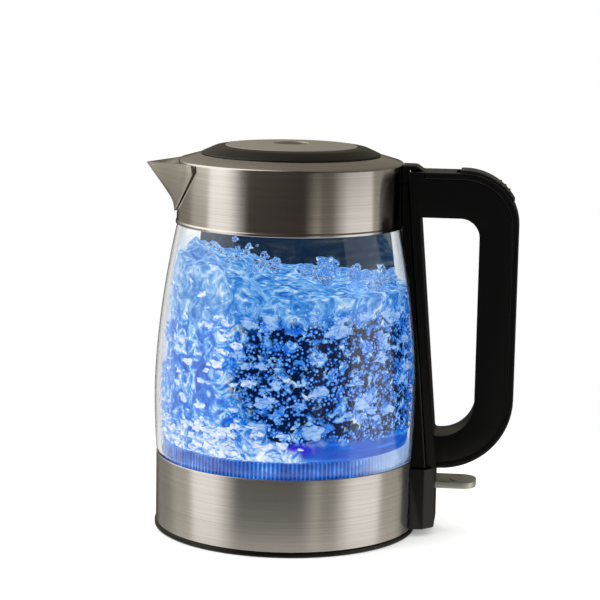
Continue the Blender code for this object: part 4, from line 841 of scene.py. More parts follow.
# %% Sizes of the kettle
GAP = 0.0003
BAND_RADIUS = 0.0766
BAND_FOOT, BAND_TOP = 0.0030, 0.0445
SHEET = 0.0008
GLASS_WALL = 0.0025
GLASS_TOP = 0.1841
GLASS_BOTTOM = 0.0375
GLASS_WIDEST, GLASS_WIDEST_RADIUS = 0.0800, 0.0778
GLASS_NECK_RADIUS = 0.0644
GLASS_FOOT_RADIUS = 0.0755
COLLAR_FOOT, SHOULDER_EDGE, SHOULDER_TOP = 0.1791, 0.2160, 0.2196
COLLAR_FOOT_RADIUS, COLLAR_RADIUS = 0.0660, 0.0652
MOUTH_EDGE, MOUTH_RADIUS = 0.2189, 0.0495
LID_FOOT, LID_TOP, LID_RADIUS = 0.2194, 0.2246, 0.0519
HANDLE_HALF_WIDTH = 0.0140
HANDLE_TOP, HANDLE_FOOT, GRIP_FACE = 0.2123, 0.0402, 0.1327
HANDLE_BACK_TOP, HANDLE_BACK_FOOT = 0.0688, 0.0840


def glass_radius(height):
    """The glass's outer radius: widest a little above the band, and drawn in towards the collar."""
    if height >= GLASS_WIDEST:
        share = (height - GLASS_WIDEST) / (GLASS_TOP - GLASS_WIDEST)
        return GLASS_WIDEST_RADIUS - (GLASS_WIDEST_RADIUS - GLASS_NECK_RADIUS) * share**1.75
    share = (GLASS_WIDEST - height) / (GLASS_WIDEST - BAND_TOP)
    return GLASS_WIDEST_RADIUS - (GLASS_WIDEST_RADIUS - BAND_RADIUS) * share**2


def back_of_handle(height):
    """The x of the handle's back face, which leans with the jug."""
    share = (HANDLE_TOP - height) / (HANDLE_TOP - HANDLE_FOOT)
    return HANDLE_BACK_TOP + (HANDLE_BACK_FOOT - HANDLE_BACK_TOP) * share

# %% [markdown]
# ## The jug
#
# The glass is a tube blown in a mould: a foot that stands in the band, a belly, and a neck that goes up
# inside the collar. Outer and inner wall are one closed section.

# %% Glass
GLASS_STEP = 0.0030                     # height of the step from the foot to the belly
LEVELS = 34
belly = []
for level in range(LEVELS + 1):
    height = GLASS_TOP + (BAND_TOP + GLASS_STEP - GLASS_TOP) * level / LEVELS
    belly.append((glass_radius(height), height))
foot = [
    (glass_radius(BAND_TOP + GLASS_STEP) - 0.0003, BAND_TOP + 0.0018),
    (GLASS_FOOT_RADIUS + 0.0002, BAND_TOP + 0.0007),
    (GLASS_FOOT_RADIUS, BAND_TOP),
    (GLASS_FOOT_RADIUS, GLASS_BOTTOM),
]
outside = belly + foot
inside = [(radius - GLASS_WALL, height) for radius, height in reversed(outside)]
jug_glass = turned_piece("blown_glass", outside + inside, steps=180)
finished(jug_glass, GLASS, "jug", ["glass_jug"])

# %% [markdown]
# The band is a strip of stainless sheet, rolled to a hoop and welded. Its upper edge is hemmed, so
# it looks round. It is turned from its section, with the hem as a bevel. A window behind the switch housing
# lets the lever through, and is cut with a block.

# %% Lower band
LEVER_HEIGHT, LEVER_THICKNESS, LEVER_HALF_WIDTH = 0.0295, 0.0040, 0.0110
band = turned_piece(
    "steel_band",
    [
        (BAND_RADIUS - SHEET, BAND_FOOT),
        (BAND_RADIUS, BAND_FOOT, 0.0003),
        (BAND_RADIUS, BAND_TOP, 0.0006),
        (BAND_RADIUS - SHEET, BAND_TOP),
    ],
    steps=180,
)
window_low = LEVER_HEIGHT - 0.0064
window_high = LEVER_HEIGHT + 0.0045
cut(band, box_cutter((0.0580, -0.0120, window_low), (0.0806, 0.0120, window_high)))
finished(band, BAND_STEEL, "jug", ["lower_band"])

# %% [markdown]
# The collar is deep drawn from one blank: wall, shoulder and the seat of the lid. Its foot is rolled
# outward to a lip that catches the light as a bright line.

# %% Collar
LIP_RADIUS = COLLAR_FOOT_RADIUS + 0.0005
SEAT_RADIUS = 0.0525
collar = turned_piece(
    "steel_collar",
    [
        (MOUTH_RADIUS, MOUTH_EDGE),
        (SEAT_RADIUS, MOUTH_EDGE),
        (SEAT_RADIUS + 0.0004, SHOULDER_TOP, 0.0003),
        (COLLAR_RADIUS, SHOULDER_EDGE, 0.0011),
        (COLLAR_FOOT_RADIUS, COLLAR_FOOT + 0.0021, 0.0003),
        (LIP_RADIUS, COLLAR_FOOT + 0.0015, 0.0002),
        (LIP_RADIUS, COLLAR_FOOT, 0.0004),
        (COLLAR_FOOT_RADIUS - SHEET, COLLAR_FOOT, 0.0002),
        (COLLAR_FOOT_RADIUS - SHEET, COLLAR_FOOT + 0.0021),
        (COLLAR_RADIUS - SHEET, SHOULDER_EDGE - SHEET),
        (SEAT_RADIUS, MOUTH_EDGE - SHEET),
        (MOUTH_RADIUS, MOUTH_EDGE - SHEET),
    ],
    steps=180,
)
# the pouring hole, wide at its top
HOLE_FOOT, HOLE_TOP = 0.1881, 0.2125
hole = flat_piece(
    "pouring_hole",
    [(-0.0070, HOLE_FOOT), (0.0070, HOLE_FOOT), (0.0280, HOLE_TOP), (-0.0280, HOLE_TOP)],
    -0.0850, -0.0512, along="X",
)
cut(collar, hole)
# the window of the latch
LATCH_START, LATCH_HALF = 0.0581, 0.0046
LATCH_FOOT, LATCH_TOP = 0.2024, 0.2126
LATCH_WINDOW = ((LATCH_START, -LATCH_HALF, LATCH_FOOT), (0.0850, LATCH_HALF, LATCH_TOP))
cut(collar, box_cutter(*LATCH_WINDOW))
finished(collar, COLLAR_STEEL, "jug", ["collar"])

# %% [markdown]
# A nylon moulding lines the collar. It carries the neck of the mouth, holds the glass's top and hides the
# raw edge of the sheet. Like the collar it is turned, and the pouring hole, the latch's window and the
# hinge's place are cut through it.

# %% Inner moulding of the collar
LINER_OUTSIDE = 0.0641
LINER_WALL = 0.0018
NECK_OUTSIDE, NECK_FOOT = 0.0494, 0.2070
ROOF = MOUTH_EDGE - SHEET - GAP
LINER_FOOT = GLASS_TOP + 0.0026
ROOF_EDGE = SHOULDER_EDGE - SHEET - GAP - 0.0006
liner = turned_piece(
    "collar_inner_moulding",
    [
        (NECK_OUTSIDE, ROOF),
        (LID_RADIUS, ROOF),
        (LINER_OUTSIDE, ROOF_EDGE, 0.0006),
        (LINER_OUTSIDE, LINER_FOOT),
        (LINER_OUTSIDE - 0.0032, LINER_FOOT, 0.0004),
        (LINER_OUTSIDE - 0.0032, LINER_FOOT + LINER_WALL, 0.0004),
        (LINER_OUTSIDE - LINER_WALL, LINER_FOOT + LINER_WALL + 0.0012),
        (LINER_OUTSIDE - LINER_WALL, ROOF_EDGE - LINER_WALL),
        (LID_RADIUS, ROOF - LINER_WALL),
        (NECK_OUTSIDE, ROOF - LINER_WALL),
        (NECK_OUTSIDE, NECK_FOOT, 0.0005),
        (NECK_OUTSIDE - LINER_WALL, NECK_FOOT, 0.0005),
        (NECK_OUTSIDE - LINER_WALL, ROOF, 0.0004),
    ],
)

opening = flat_piece(
    "inner_pouring_hole",
    [(-0.0062, 0.1896), (0.0062, 0.1896), (0.0265, 0.2110), (-0.0265, 0.2110)],
    -0.0850, -0.0512, along="X",
)
cut(liner, opening)
cut(liner, box_cutter(*LATCH_WINDOW))
cut(liner, box_cutter((0.0456, -0.0100, NECK_FOOT - 0.0100), (0.0619, 0.0100, MOUTH_EDGE + 0.0100)))
finished(liner, DARK_NYLON, "jug", ["collar_liner"])

# %% [markdown]
# The spout is one folded blank, welded to the collar along a seam. Two flanks run from the seam to the
# keel in front. A narrow flange lies along the seam. It is drawn as a grid: rows from foot to rim,
# columns from seam to seam, and then given the sheet's thickness.

# %% Spout
SPOUT_SEAT = COLLAR_RADIUS + 0.0019
SPOUT_FOOT, SPOUT_RIM = 0.1846, 0.2153
SPOUT_TIP = Vector((-0.0857, 0.0, 0.2122))
KEEL_FOOT = Vector((-0.0681, 0.0, 0.1896))
FLANGE = 0.10                           # share of the sheet, from the seam, that lies on the collar
ROWS, COLUMNS = 30, 20


def spout_point(rise, across):
    """A point of the sheet: rise from foot 0 to rim 1, and across from one seam -1 to the other 1."""
    side = math.copysign(1.0, across)
    share = 1 - abs(across)
    spread = math.radians(43) * rise**0.45 - math.radians(4) * max(0.0, rise - 0.85) / 0.15
    height = SPOUT_FOOT + (SPOUT_RIM - SPOUT_FOOT) * rise
    bend = spread * (1 - min(share, FLANGE))
    radius = SPOUT_SEAT + min(share, FLANGE) * 0.003
    edge = Vector((-radius * math.cos(bend), side * radius * math.sin(bend), height))
    if share <= FLANGE:
        return edge
    keel = KEEL_FOOT.lerp(SPOUT_TIP, rise)
    rest = 1 - (share - FLANGE) / (1 - FLANGE)
    soft = math.sqrt(rest**2 + 0.03**2) / math.sqrt(1 + 0.03**2)
    place = keel.lerp(edge, soft)
    place.y = edge.y * rest
    return place


bpy.ops.mesh.primitive_grid_add(x_subdivisions=2 * COLUMNS, y_subdivisions=ROWS, size=2.0)
spout = bpy.context.object
spout.name = "folded_spout"
for vert in spout.data.vertices:
    vert.co = spout_point((vert.co.y + 1) / 2, vert.co.x)
bpy.ops.object.mode_set(mode="EDIT")
bpy.ops.mesh.select_all(action="SELECT")
bpy.ops.mesh.remove_doubles(threshold=1e-5)
bpy.ops.mesh.normals_make_consistent(inside=False)
pick(spout, "faces", lambda face: face.calc_center_median().x < -0.075 and face.calc_center_median().y > 0)
facing = bmesh.from_edit_mesh(spout.data)
outward = sum(face.normal.y for face in facing.faces if face.select)
bpy.ops.mesh.select_all(action="SELECT")
if outward < 0:
    bpy.ops.mesh.flip_normals()
bpy.ops.object.mode_set(mode="OBJECT")
sheet = spout.modifiers.new("sheet", "SOLIDIFY")
sheet.thickness = SHEET
sheet.offset = -1.0
bpy.ops.object.modifier_apply(modifier=sheet.name)
finished(spout, SPOUT_STEEL, "jug", ["spout"], angle=28)

# %% [markdown]
# ## The lid
#
# A black ring carries a crowned steel disc with a small dark badge in its middle. Below it hang the skirt,
# its seal and a steel inner plate. All of it turns with the lid about the hinge behind the mouth. Ring, disc
# and badge are turned one by one, with a real gap between them, so that the joints show as fine dark lines.

# %% Lid
DISC_RADIUS, DISC_CROWN, DISC_SHEET = 0.0383, 0.0014, 0.0010
BADGE_RADIUS = 0.0100
RING_SEAT = DISC_RADIUS + GAP - 0.0040


def disc_height(radius):
    """Top of the crowned disc at a radius."""
    return LID_TOP + DISC_CROWN * (1 - (radius / DISC_RADIUS) ** 2)


ring = turned_piece(
    "lid_ring_moulding",
    [
        (DISC_RADIUS + GAP, LID_TOP, 0.0003),
        (0.0440, LID_TOP - 0.0008, 0.0008),
        (LID_RADIUS, LID_FOOT + 0.0009, 0.0005),
        (LID_RADIUS, LID_FOOT, 0.0002),
        (MOUTH_RADIUS - 0.0030, LID_FOOT),
        (MOUTH_RADIUS - 0.0032, LID_FOOT + 0.0012),
        (RING_SEAT, LID_FOOT + 0.0020),
        (RING_SEAT, LID_TOP - DISC_SHEET - GAP),
        (DISC_RADIUS + GAP, LID_TOP - DISC_SHEET - GAP),
    ],
)
finished(ring, LID_PP, "lid", ["lid_ring"])

radii = [BADGE_RADIUS + GAP + (DISC_RADIUS - BADGE_RADIUS - GAP) * step / 10 for step in range(11)]
top_side = [(radius, disc_height(radius)) for radius in radii]
top_side[-1] = (*top_side[-1], 0.0003)
top_side[0] = (*top_side[0], 0.0002)
under_side = [(radius, disc_height(radius) - DISC_SHEET) for radius in reversed(radii)]
disc = turned_piece("lid_steel_disc", top_side + under_side)
finished(disc, DISC_STEEL, "lid", ["lid_disc"])

badge_top = disc_height(BADGE_RADIUS) - 0.0005
badge = turned_piece(
    "lid_badge_disc",
    [
        (0.0, badge_top - 0.0004),
        (BADGE_RADIUS * 0.5, badge_top - 0.0003),
        (BADGE_RADIUS * 0.8, badge_top - 0.0002, 0.0004),
        (BADGE_RADIUS, badge_top, 0.0002),
        (BADGE_RADIUS, badge_top - 0.0012),
        (0.0, badge_top - 0.0014),
    ],
    steps=96,
)
finished(badge, BADGE_PP, "lid", ["lid_badge"])

# %% [markdown]
# The skirt guides the lid into the neck, and its silicone lip closes the gap. The steel plate keeps steam off
# the plastic. The goose-neck arm of the hinge needs room in all three, so the same notch is cut in each.

# %% Underside of the lid
SKIRT_RADIUS = MOUTH_RADIUS - 0.0060
SKIRT_FOOT = LID_FOOT - 0.0110
ARM_NOTCH = ((SKIRT_RADIUS - 0.0060, -0.0043, LID_FOOT - 0.02), (MOUTH_RADIUS, 0.0043, LID_FOOT + 0.0009))
skirt = turned_piece(
    "lid_skirt_moulding",
    [
        (MOUTH_RADIUS - 0.0033, LID_FOOT + 0.0008),
        (MOUTH_RADIUS - 0.0033, LID_FOOT - 0.0012, 0.0004),
        (SKIRT_RADIUS, LID_FOOT - 0.0032, 0.0004),
        (SKIRT_RADIUS - 0.0004, SKIRT_FOOT, 0.0006),
        (SKIRT_RADIUS - 0.0046, SKIRT_FOOT, 0.0003),
        (SKIRT_RADIUS - 0.0046, SKIRT_FOOT + 0.0010),
        (SKIRT_RADIUS - 0.0024, SKIRT_FOOT + 0.0010),
        (SKIRT_RADIUS - 0.0024, LID_FOOT + 0.0008),
    ],
)
cut(skirt, box_cutter(*ARM_NOTCH))
finished(skirt, DARK_NYLON, "lid", ["lid_skirt"])

plate_foot = SKIRT_FOOT + 0.0010 + GAP
plate_radius = SKIRT_RADIUS - 0.0024 - GAP
plate = turned_piece(
    "lid_inner_steel",
    [
        (0.0, plate_foot + 0.0008),
        (plate_radius, plate_foot + 0.0008),
        (plate_radius, plate_foot, 0.0002),
        (0.0, plate_foot),
    ],
)
cut(plate, box_cutter(*ARM_NOTCH))
finished(plate, SATIN_STEEL, "lid", ["lid_inner_plate"])

SEAL_HEIGHT = LID_FOOT - 0.0070
SEAL_OUTSIDE = NECK_OUTSIDE - LINER_WALL - 0.0010
seal = turned_piece(
    "lid_seal_lip",
    [
        (SEAL_OUTSIDE, SEAL_HEIGHT + 0.0004, 0.0003),
        (SEAL_OUTSIDE, SEAL_HEIGHT - 0.0004, 0.0003),
        (SKIRT_RADIUS + GAP, SEAL_HEIGHT - 0.0011),
        (SKIRT_RADIUS + GAP, SEAL_HEIGHT + 0.0011),
    ],
)
cut(seal, box_cutter(*ARM_NOTCH))
finished(seal, SILICONE, "lid", ["lid_seal"])

# %% [markdown]
# ## The handle
#
# The handle is two mouldings: a hollow shell with the finger window, and a cover that closes it from
# outside and carries the thumb button. Both have edges rounded to a millimetre or so for the hand. A sculpted
# mesh could follow a softer shape, but this handle has flat sides, so it is drawn from the side and extruded.
# The finger window, the channel inside and the steam duct are cut out of it.

# %% Handle shell
COVER_THICKNESS = 0.0040
COVER_START, COVER_END = 0.0781, 0.0897
CORNER_TOP, CORNER_FOOT = 0.0320, 0.0420
CORNER = (GRIP_FACE - CORNER_TOP, HANDLE_TOP - CORNER_TOP)
WINDOW_TOP, WINDOW_FOOT, WINDOW_RIGHT = 0.1865, 0.0593, 0.1103
COLUMN_DEPTH = 0.0050
SHELL_WALL = 0.0030
INSET = COVER_THICKNESS + 0.00002       # the two mouldings all but touch along the seam
HALF = HANDLE_HALF_WIDTH

shell = flat_piece(
    "handle_body",
    [
        (back_of_handle(HANDLE_TOP), HANDLE_TOP, 0.0020),
        (COVER_START - GAP, HANDLE_TOP),
        (COVER_START - GAP, HANDLE_TOP - INSET),
        (GRIP_FACE - INSET, HANDLE_TOP - INSET, CORNER_TOP - INSET),
        (GRIP_FACE - INSET, HANDLE_FOOT + INSET, CORNER_FOOT - INSET),
        (COVER_END - GAP, HANDLE_FOOT + INSET),
        (COVER_END - GAP, HANDLE_FOOT),
        (back_of_handle(HANDLE_FOOT), HANDLE_FOOT),
    ],
    -HALF, HALF,
)
window = flat_piece(
    "finger_window",
    [
        (back_of_handle(WINDOW_TOP) + COLUMN_DEPTH, WINDOW_TOP, 0.0015),
        (WINDOW_RIGHT, WINDOW_TOP, 0.0110),
        (WINDOW_RIGHT, WINDOW_FOOT, 0.0200),
        (back_of_handle(WINDOW_FOOT) + COLUMN_DEPTH, WINDOW_FOOT, 0.0015),
    ],
    -2 * HALF, 2 * HALF,
)
cut(shell, window)
print("softened", soften(shell, 0.0011, side_rim, 4), "edges of the shell")
channel = flat_piece(
    "channel_in_handle",
    [
        (back_of_handle(WINDOW_TOP) + COLUMN_DEPTH + SHELL_WALL + 0.0040, WINDOW_TOP + SHELL_WALL),
        (back_of_handle(WINDOW_TOP) + COLUMN_DEPTH + SHELL_WALL + 0.0040, HANDLE_TOP + 0.02),
        (GRIP_FACE + 0.02, HANDLE_TOP + 0.02),
        (GRIP_FACE + 0.02, HANDLE_FOOT + CORNER_FOOT),
        (WINDOW_RIGHT + SHELL_WALL, HANDLE_FOOT + CORNER_FOOT),
        (WINDOW_RIGHT + SHELL_WALL, WINDOW_TOP + SHELL_WALL, 0.0110),
    ],
    -HALF + SHELL_WALL, HALF - SHELL_WALL,
)
cut(shell, channel)
DUCT_TOP, DUCT_FOOT, DUCT_DEPTH, DUCT_HALF = 0.1983, 0.0302, 0.0034, 0.0070
duct = flat_piece(
    "steam_duct",
    [
        (back_of_handle(DUCT_TOP) - 0.0040, DUCT_TOP),
        (back_of_handle(DUCT_TOP) + DUCT_DEPTH, DUCT_TOP),
        (back_of_handle(DUCT_FOOT) + DUCT_DEPTH, DUCT_FOOT),
        (back_of_handle(DUCT_FOOT) - 0.0040, DUCT_FOOT),
    ],
    -DUCT_HALF, DUCT_HALF,
)
cut(shell, duct)
LATCH_WAY = ((LATCH_START, -LATCH_HALF, LATCH_FOOT), (0.0901, LATCH_HALF, 0.2066))
cut(shell, box_cutter(*LATCH_WAY))
finished(shell, BLACK_PP, "jug", ["handle_shell"])

# %% [markdown]
# The cover is a bent strip 4 mm thick. It could be a curve with a profile, but its ends and its two corners
# have different roundings, so it is drawn from the side like the shell. Shell and cover meet at a seam.
# The slot for the button is cut along the corner's own arc.

# %% Handle cover
cover = flat_piece(
    "handle_outer_cover",
    [
        (COVER_START, HANDLE_TOP - COVER_THICKNESS),
        (COVER_START, HANDLE_TOP),
        (GRIP_FACE, HANDLE_TOP, CORNER_TOP),
        (GRIP_FACE, HANDLE_FOOT, CORNER_FOOT),
        (COVER_END, HANDLE_FOOT),
        (COVER_END, HANDLE_FOOT + COVER_THICKNESS),
        (GRIP_FACE - COVER_THICKNESS, HANDLE_FOOT + COVER_THICKNESS, CORNER_FOOT - COVER_THICKNESS),
        (GRIP_FACE - COVER_THICKNESS, HANDLE_TOP - COVER_THICKNESS, CORNER_TOP - COVER_THICKNESS),
    ],
    -HALF, HALF,
)
print("softened", soften(cover, 0.0012, side_rim, 4), "edges of the cover")
slot_outline = arc(CORNER, CORNER_TOP + 0.006, 98.5, 29.4, 16)
slot_outline += arc(CORNER, CORNER_TOP - 0.008, 29.4, 98.5, 16)
cut(cover, flat_piece("button_slot", slot_outline, -0.0098, 0.0098))
finished(cover, BLACK_PP, "jug", ["handle_cover"])

# %% [markdown]
# The thumb button lies in a slot at the handle's outer corner, a little proud of the cover. Three
# ridges near its lower end give the thumb a hold. It turns on a pin at that end, and a post under its
# upper end presses the latch's ramp. Its outline is an arc with the ridges worked into it, which keeps them
# exactly across the button. Boss and post are joined on, and the pin's bore is cut last.

# %% Release button
BUTTON_RADIUS = CORNER_TOP + 0.0014
BUTTON_THICKNESS = 0.0042
PIN = Vector((0.12152, 0.0, 0.19686))
RIDGES = (40.0, 46.0, 52.0)             # degrees
outline = []
for step in range(129):
    degrees = 94 - 64 * step / 128
    ridge = max(max(0.0, 1 - abs(degrees - middle) / 1.5) for middle in RIDGES)
    outline += arc(CORNER, BUTTON_RADIUS + 0.0007 * ridge, degrees, degrees, 1)[:1]
outline += arc(CORNER, BUTTON_RADIUS - BUTTON_THICKNESS, 30, 94, 40)
button = flat_piece("thumb_button", outline, -0.0095, 0.0095)
soften(button, 0.0006, side_rim, 3)
cut(button, rod_cutter(0.0034, PIN - Vector((0, 0.006, 0)), PIN + Vector((0, 0.006, 0))), "UNION")
cut(button, box_cutter((0.1052, -0.0030, 0.2066), (0.1087, 0.0030, 0.2103)), "UNION")
cut(button, rod_cutter(0.00116, PIN - Vector((0, 0.02, 0)), PIN + Vector((0, 0.02, 0))))
finished(button, BUTTON_PP, "release_button", ["release_button"])

# %% [markdown]
# Between jug and handle stands the spine, a rail that widens towards the foot, with a cap on top. Both
# are cut to the jug's shape, so they lie against glass and steel with an even gap. Drawing that hollow face
# by hand would never fit so well: the jug's own section, a gap wider, is turned and used as the cutter.

# %% Spine and cap
def jug_block():
    """The room that the jug takes, a gap wider all round."""
    levels = [COLLAR_FOOT + (BAND_TOP + GLASS_STEP - COLLAR_FOOT) * level / 24 for level in range(1, 25)]
    return turned_piece(
        "jug_room",
        [
            (0.0, SHOULDER_EDGE + 0.02),
            (COLLAR_RADIUS + GAP, SHOULDER_EDGE + 0.02),
            (COLLAR_RADIUS + GAP, SHOULDER_EDGE),
            (COLLAR_FOOT_RADIUS + GAP, COLLAR_FOOT + 0.0022),
            (LIP_RADIUS + GAP, COLLAR_FOOT + 0.0022),
            (LIP_RADIUS + GAP, COLLAR_FOOT - GAP),
            *[(glass_radius(level) + GAP, level) for level in levels],
            (BAND_RADIUS + GAP, BAND_TOP + 2 * GAP),
            (BAND_RADIUS + GAP, BAND_FOOT),
            (BAND_RADIUS + 0.0009, BAND_FOOT),
            (BAND_RADIUS + 0.0009, -0.01),
            (0.0, -0.01),
        ],
        steps=180,
    )


SPINE_FOOT, SPINE_TOP = HANDLE_FOOT + 0.0012, HANDLE_TOP - 0.0070
bpy.ops.mesh.primitive_cube_add(size=2.0)
spine = bpy.context.object
spine.name = "handle_spine"
for vert in spine.data.vertices:
    level, half = (SPINE_TOP, 0.0080) if vert.co.z > 0 else (SPINE_FOOT, 0.0180)
    depth = back_of_handle(level) - GAP if vert.co.x > 0 else 0.0466
    vert.co = (depth, math.copysign(half, vert.co.y), level)
soften(spine, 0.0012, lambda edge: all(vert.co.x > 0.06 for vert in edge.verts)
       and abs(edge.verts[0].co.z - edge.verts[1].co.z) > 0.1, 4)
cut(spine, jug_block())
cut(spine, box_cutter(*LATCH_WAY))
finished(spine, BLACK_PP, "jug", ["spine"])

CAP_TOP = HANDLE_TOP + 0.0033
CAP_BACK = HANDLE_BACK_TOP - GAP
cap = flat_piece(
    "spine_top_cap",
    [
        (0.0592, CAP_TOP),
        (CAP_BACK + 0.0045, CAP_TOP - 0.0002, 0.0012),
        (CAP_BACK + 0.0085, HANDLE_TOP + GAP),
        (CAP_BACK, HANDLE_TOP + GAP),
        (CAP_BACK, SPINE_TOP + GAP),
        (0.0592, SPINE_TOP + GAP),
    ],
    -0.0090, 0.0090,
)
soften(cap, 0.0009, lambda edge: side_rim(edge) and min(vert.co.z for vert in edge.verts) > HANDLE_TOP, 3)
cut(cap, jug_block())
cut(cap, box_cutter((LATCH_START, -LATCH_HALF, LATCH_FOOT), (0.0677, LATCH_HALF, LATCH_TOP)))
cut(cap, box_cutter(*LATCH_WAY))
finished(cap, BLACK_PP, "jug", ["spine_cap"])

# %% [markdown]
# ## The switch
#
# The housing under the handle is a chamfered box, open towards the jug. The lever is a stamped plate with a
# raised oval on its top, and it turns about a pin inside the housing. Both are drawn from above and extruded
# upwards. The lever's slot is as tall as the lever's swing needs.

# %% Switch housing
HOUSING_FACE, HOUSING_HALF, HOUSING_CHAMFER = 0.0890, 0.0190, 0.0062
HOUSING_FOOT, HOUSING_TOP, HOUSING_WALL = 0.0040, 0.0399, 0.0025
LEVER_SWING = math.radians(12)
LEVER_ROOM, LEVER_BORE = 0.0006, 0.00146
LEVER_PIN = Vector((0.0820, 0.0, LEVER_HEIGHT))
housing = flat_piece(
    "switch_box",
    [
        (0.0646, -HOUSING_HALF),
        (HOUSING_FACE - HOUSING_CHAMFER, -HOUSING_HALF, 0.0006),
        (HOUSING_FACE, -HOUSING_HALF + HOUSING_CHAMFER, 0.0006),
        (HOUSING_FACE, HOUSING_HALF - HOUSING_CHAMFER, 0.0006),
        (HOUSING_FACE - HOUSING_CHAMFER, HOUSING_HALF, 0.0006),
        (0.0646, HOUSING_HALF),
    ],
    HOUSING_FOOT, HOUSING_TOP, along="Z",
)
soften(housing, 0.0018, lambda edge: all(vert.co.z < HOUSING_FOOT + 0.0001 and vert.co.x > 0.07
                                         for vert in edge.verts), 4)
# the room inside, the mouth of the steam duct, the slot that the lever swings in, and its pin's bore
room_foot = (0.0546, -0.0126, HOUSING_FOOT + HOUSING_WALL)
room_top = (HOUSING_FACE - HOUSING_WALL, 0.0126, HOUSING_TOP - HOUSING_WALL)
cut(housing, box_cutter(room_foot, room_top))
duct_foot = (BAND_RADIUS, -DUCT_HALF, HOUSING_TOP - 0.01)
duct_top = (HANDLE_BACK_FOOT + DUCT_DEPTH, DUCT_HALF, HOUSING_TOP + 0.01)
cut(housing, box_cutter(duct_foot, duct_top))
LEVER_RISE = (HOUSING_FACE - LEVER_PIN.x) * math.tan(LEVER_SWING)
slot_half = LEVER_HALF_WIDTH + LEVER_ROOM
slot_foot = (LEVER_PIN.x, -slot_half, LEVER_HEIGHT - LEVER_THICKNESS / 2 - LEVER_ROOM)
slot_top = (HOUSING_FACE + 0.01, slot_half, LEVER_HEIGHT + LEVER_THICKNESS / 2 + LEVER_RISE + 2 * LEVER_ROOM)
cut(housing, box_cutter(slot_foot, slot_top))
pin_reach = Vector((0, 0.0140, 0))
cut(housing, rod_cutter(LEVER_BORE, LEVER_PIN - pin_reach, LEVER_PIN + pin_reach))
cut(housing, jug_block())
finished(housing, HOUSING_PP, "jug", ["switch_housing"])

# %% Lever
lever = flat_piece(
    "switch_lever_plate",
    [
        (0.0686, -0.0070),
        (0.0686, 0.0070),
        (0.0780, LEVER_HALF_WIDTH),
        (0.1126, LEVER_HALF_WIDTH, 0.0085),
        (0.1126, -LEVER_HALF_WIDTH, 0.0085),
        (0.0780, -LEVER_HALF_WIDTH),
    ],
    LEVER_HEIGHT - LEVER_THICKNESS / 2, LEVER_HEIGHT + LEVER_THICKNESS / 2, along="Z",
)
soften(lever, 0.0006, lambda edge: abs(edge.verts[0].co.z - edge.verts[1].co.z) < 1e-6
       and min(vert.co.x for vert in edge.verts) > 0.0779, 3)
bpy.ops.mesh.primitive_torus_add(
    location=(0.1012, 0, LEVER_HEIGHT + LEVER_THICKNESS / 2), major_radius=0.0036, minor_radius=0.0005,
    major_segments=64, minor_segments=12,
)
oval = bpy.context.object
oval.scale = (1.0, 2.0, 1.0)
bpy.ops.object.transform_apply(location=True, rotation=True, scale=True)
cut(lever, oval, "UNION")
cut(lever, rod_cutter(LEVER_BORE, LEVER_PIN - Vector((0, 0.02, 0)), LEVER_PIN + Vector((0, 0.02, 0))))
finished(lever, LEVER_STEEL, "lever", ["switch_lever"])

# %% [markdown]
# ## The base
#
# A black moulding closes the jug from below. Its lip shows as a thin black line under the band, and the jug
# stands on its foot ring. Three screws hold it. It is turned, with a bore for each screw.

# %% Base
LIP, SPIGOT, FOOT_INSIDE = 0.0772, 0.0755, 0.0705
base = turned_piece(
    "base_floor",
    [
        (SPIGOT, 0.0160),
        (SPIGOT, 0.0027),
        (LIP, 0.0027, 0.0004),
        (LIP, 0.0, 0.0008),
        (FOOT_INSIDE, 0.0, 0.0008),
        (FOOT_INSIDE, 0.0060),
        (0.0235, 0.0060, 0.0004),
        (0.0235, 0.0082),
        (SPIGOT - 0.0022, 0.0082),
        (SPIGOT - 0.0022, 0.0160),
    ],
    steps=180,
)
for number in range(3):
    angle = math.pi * (2 * number + 1) / 3
    spot = Vector((0.0660 * math.cos(angle), 0.0660 * math.sin(angle), 0.0))
    cut(base, rod_cutter(0.0018, spot, spot + Vector((0, 0, 0.02))))
finished(base, BLACK_PP, "jug", ["base_moulding"])

# %% [markdown]
# ## The boiling water
#
# The water fills nearly three quarters of the glass. Boiling heaps it up on the spout's side and leaves a
# dome in the middle. A liquid simulation would not hold this heap for long, so the body of water is one
# closed turned piece, whose top is then pushed up and down by noise.

# %% Body of water
WATER_LEVEL = 0.1450
WATER_FOOT = 0.0420
RING_TOP = 0.0531


def water_radius(height):
    """The water's radius: inside the light ring at the foot, then near the glass."""
    if height < RING_TOP + 0.0006:
        return 0.0692
    away = 0.0032 - 0.0024 * min(1.0, max(0.0, (height - WATER_LEVEL + 0.006) / 0.006))
    return glass_radius(height) - GLASS_WALL - away


def water_top(x, y):
    """The water's surface above the plate, at a point of the jug turned to the camera."""
    left = min(1.0, max(0.0, (-x - 0.004) / 0.040))
    dome = max(0.0, 1 - ((x + 0.002) ** 2 + (y + 0.028) ** 2) / 0.030**2)
    rough = noise.noise(Vector((x, y, 0.3)) * 60) + 0.5 * noise.noise(Vector((x, y, 0.7)) * 150)
    return WATER_LEVEL + 0.016 * left**1.3 + 0.0045 * dome + rough * (0.0016 + 0.0050 * left)


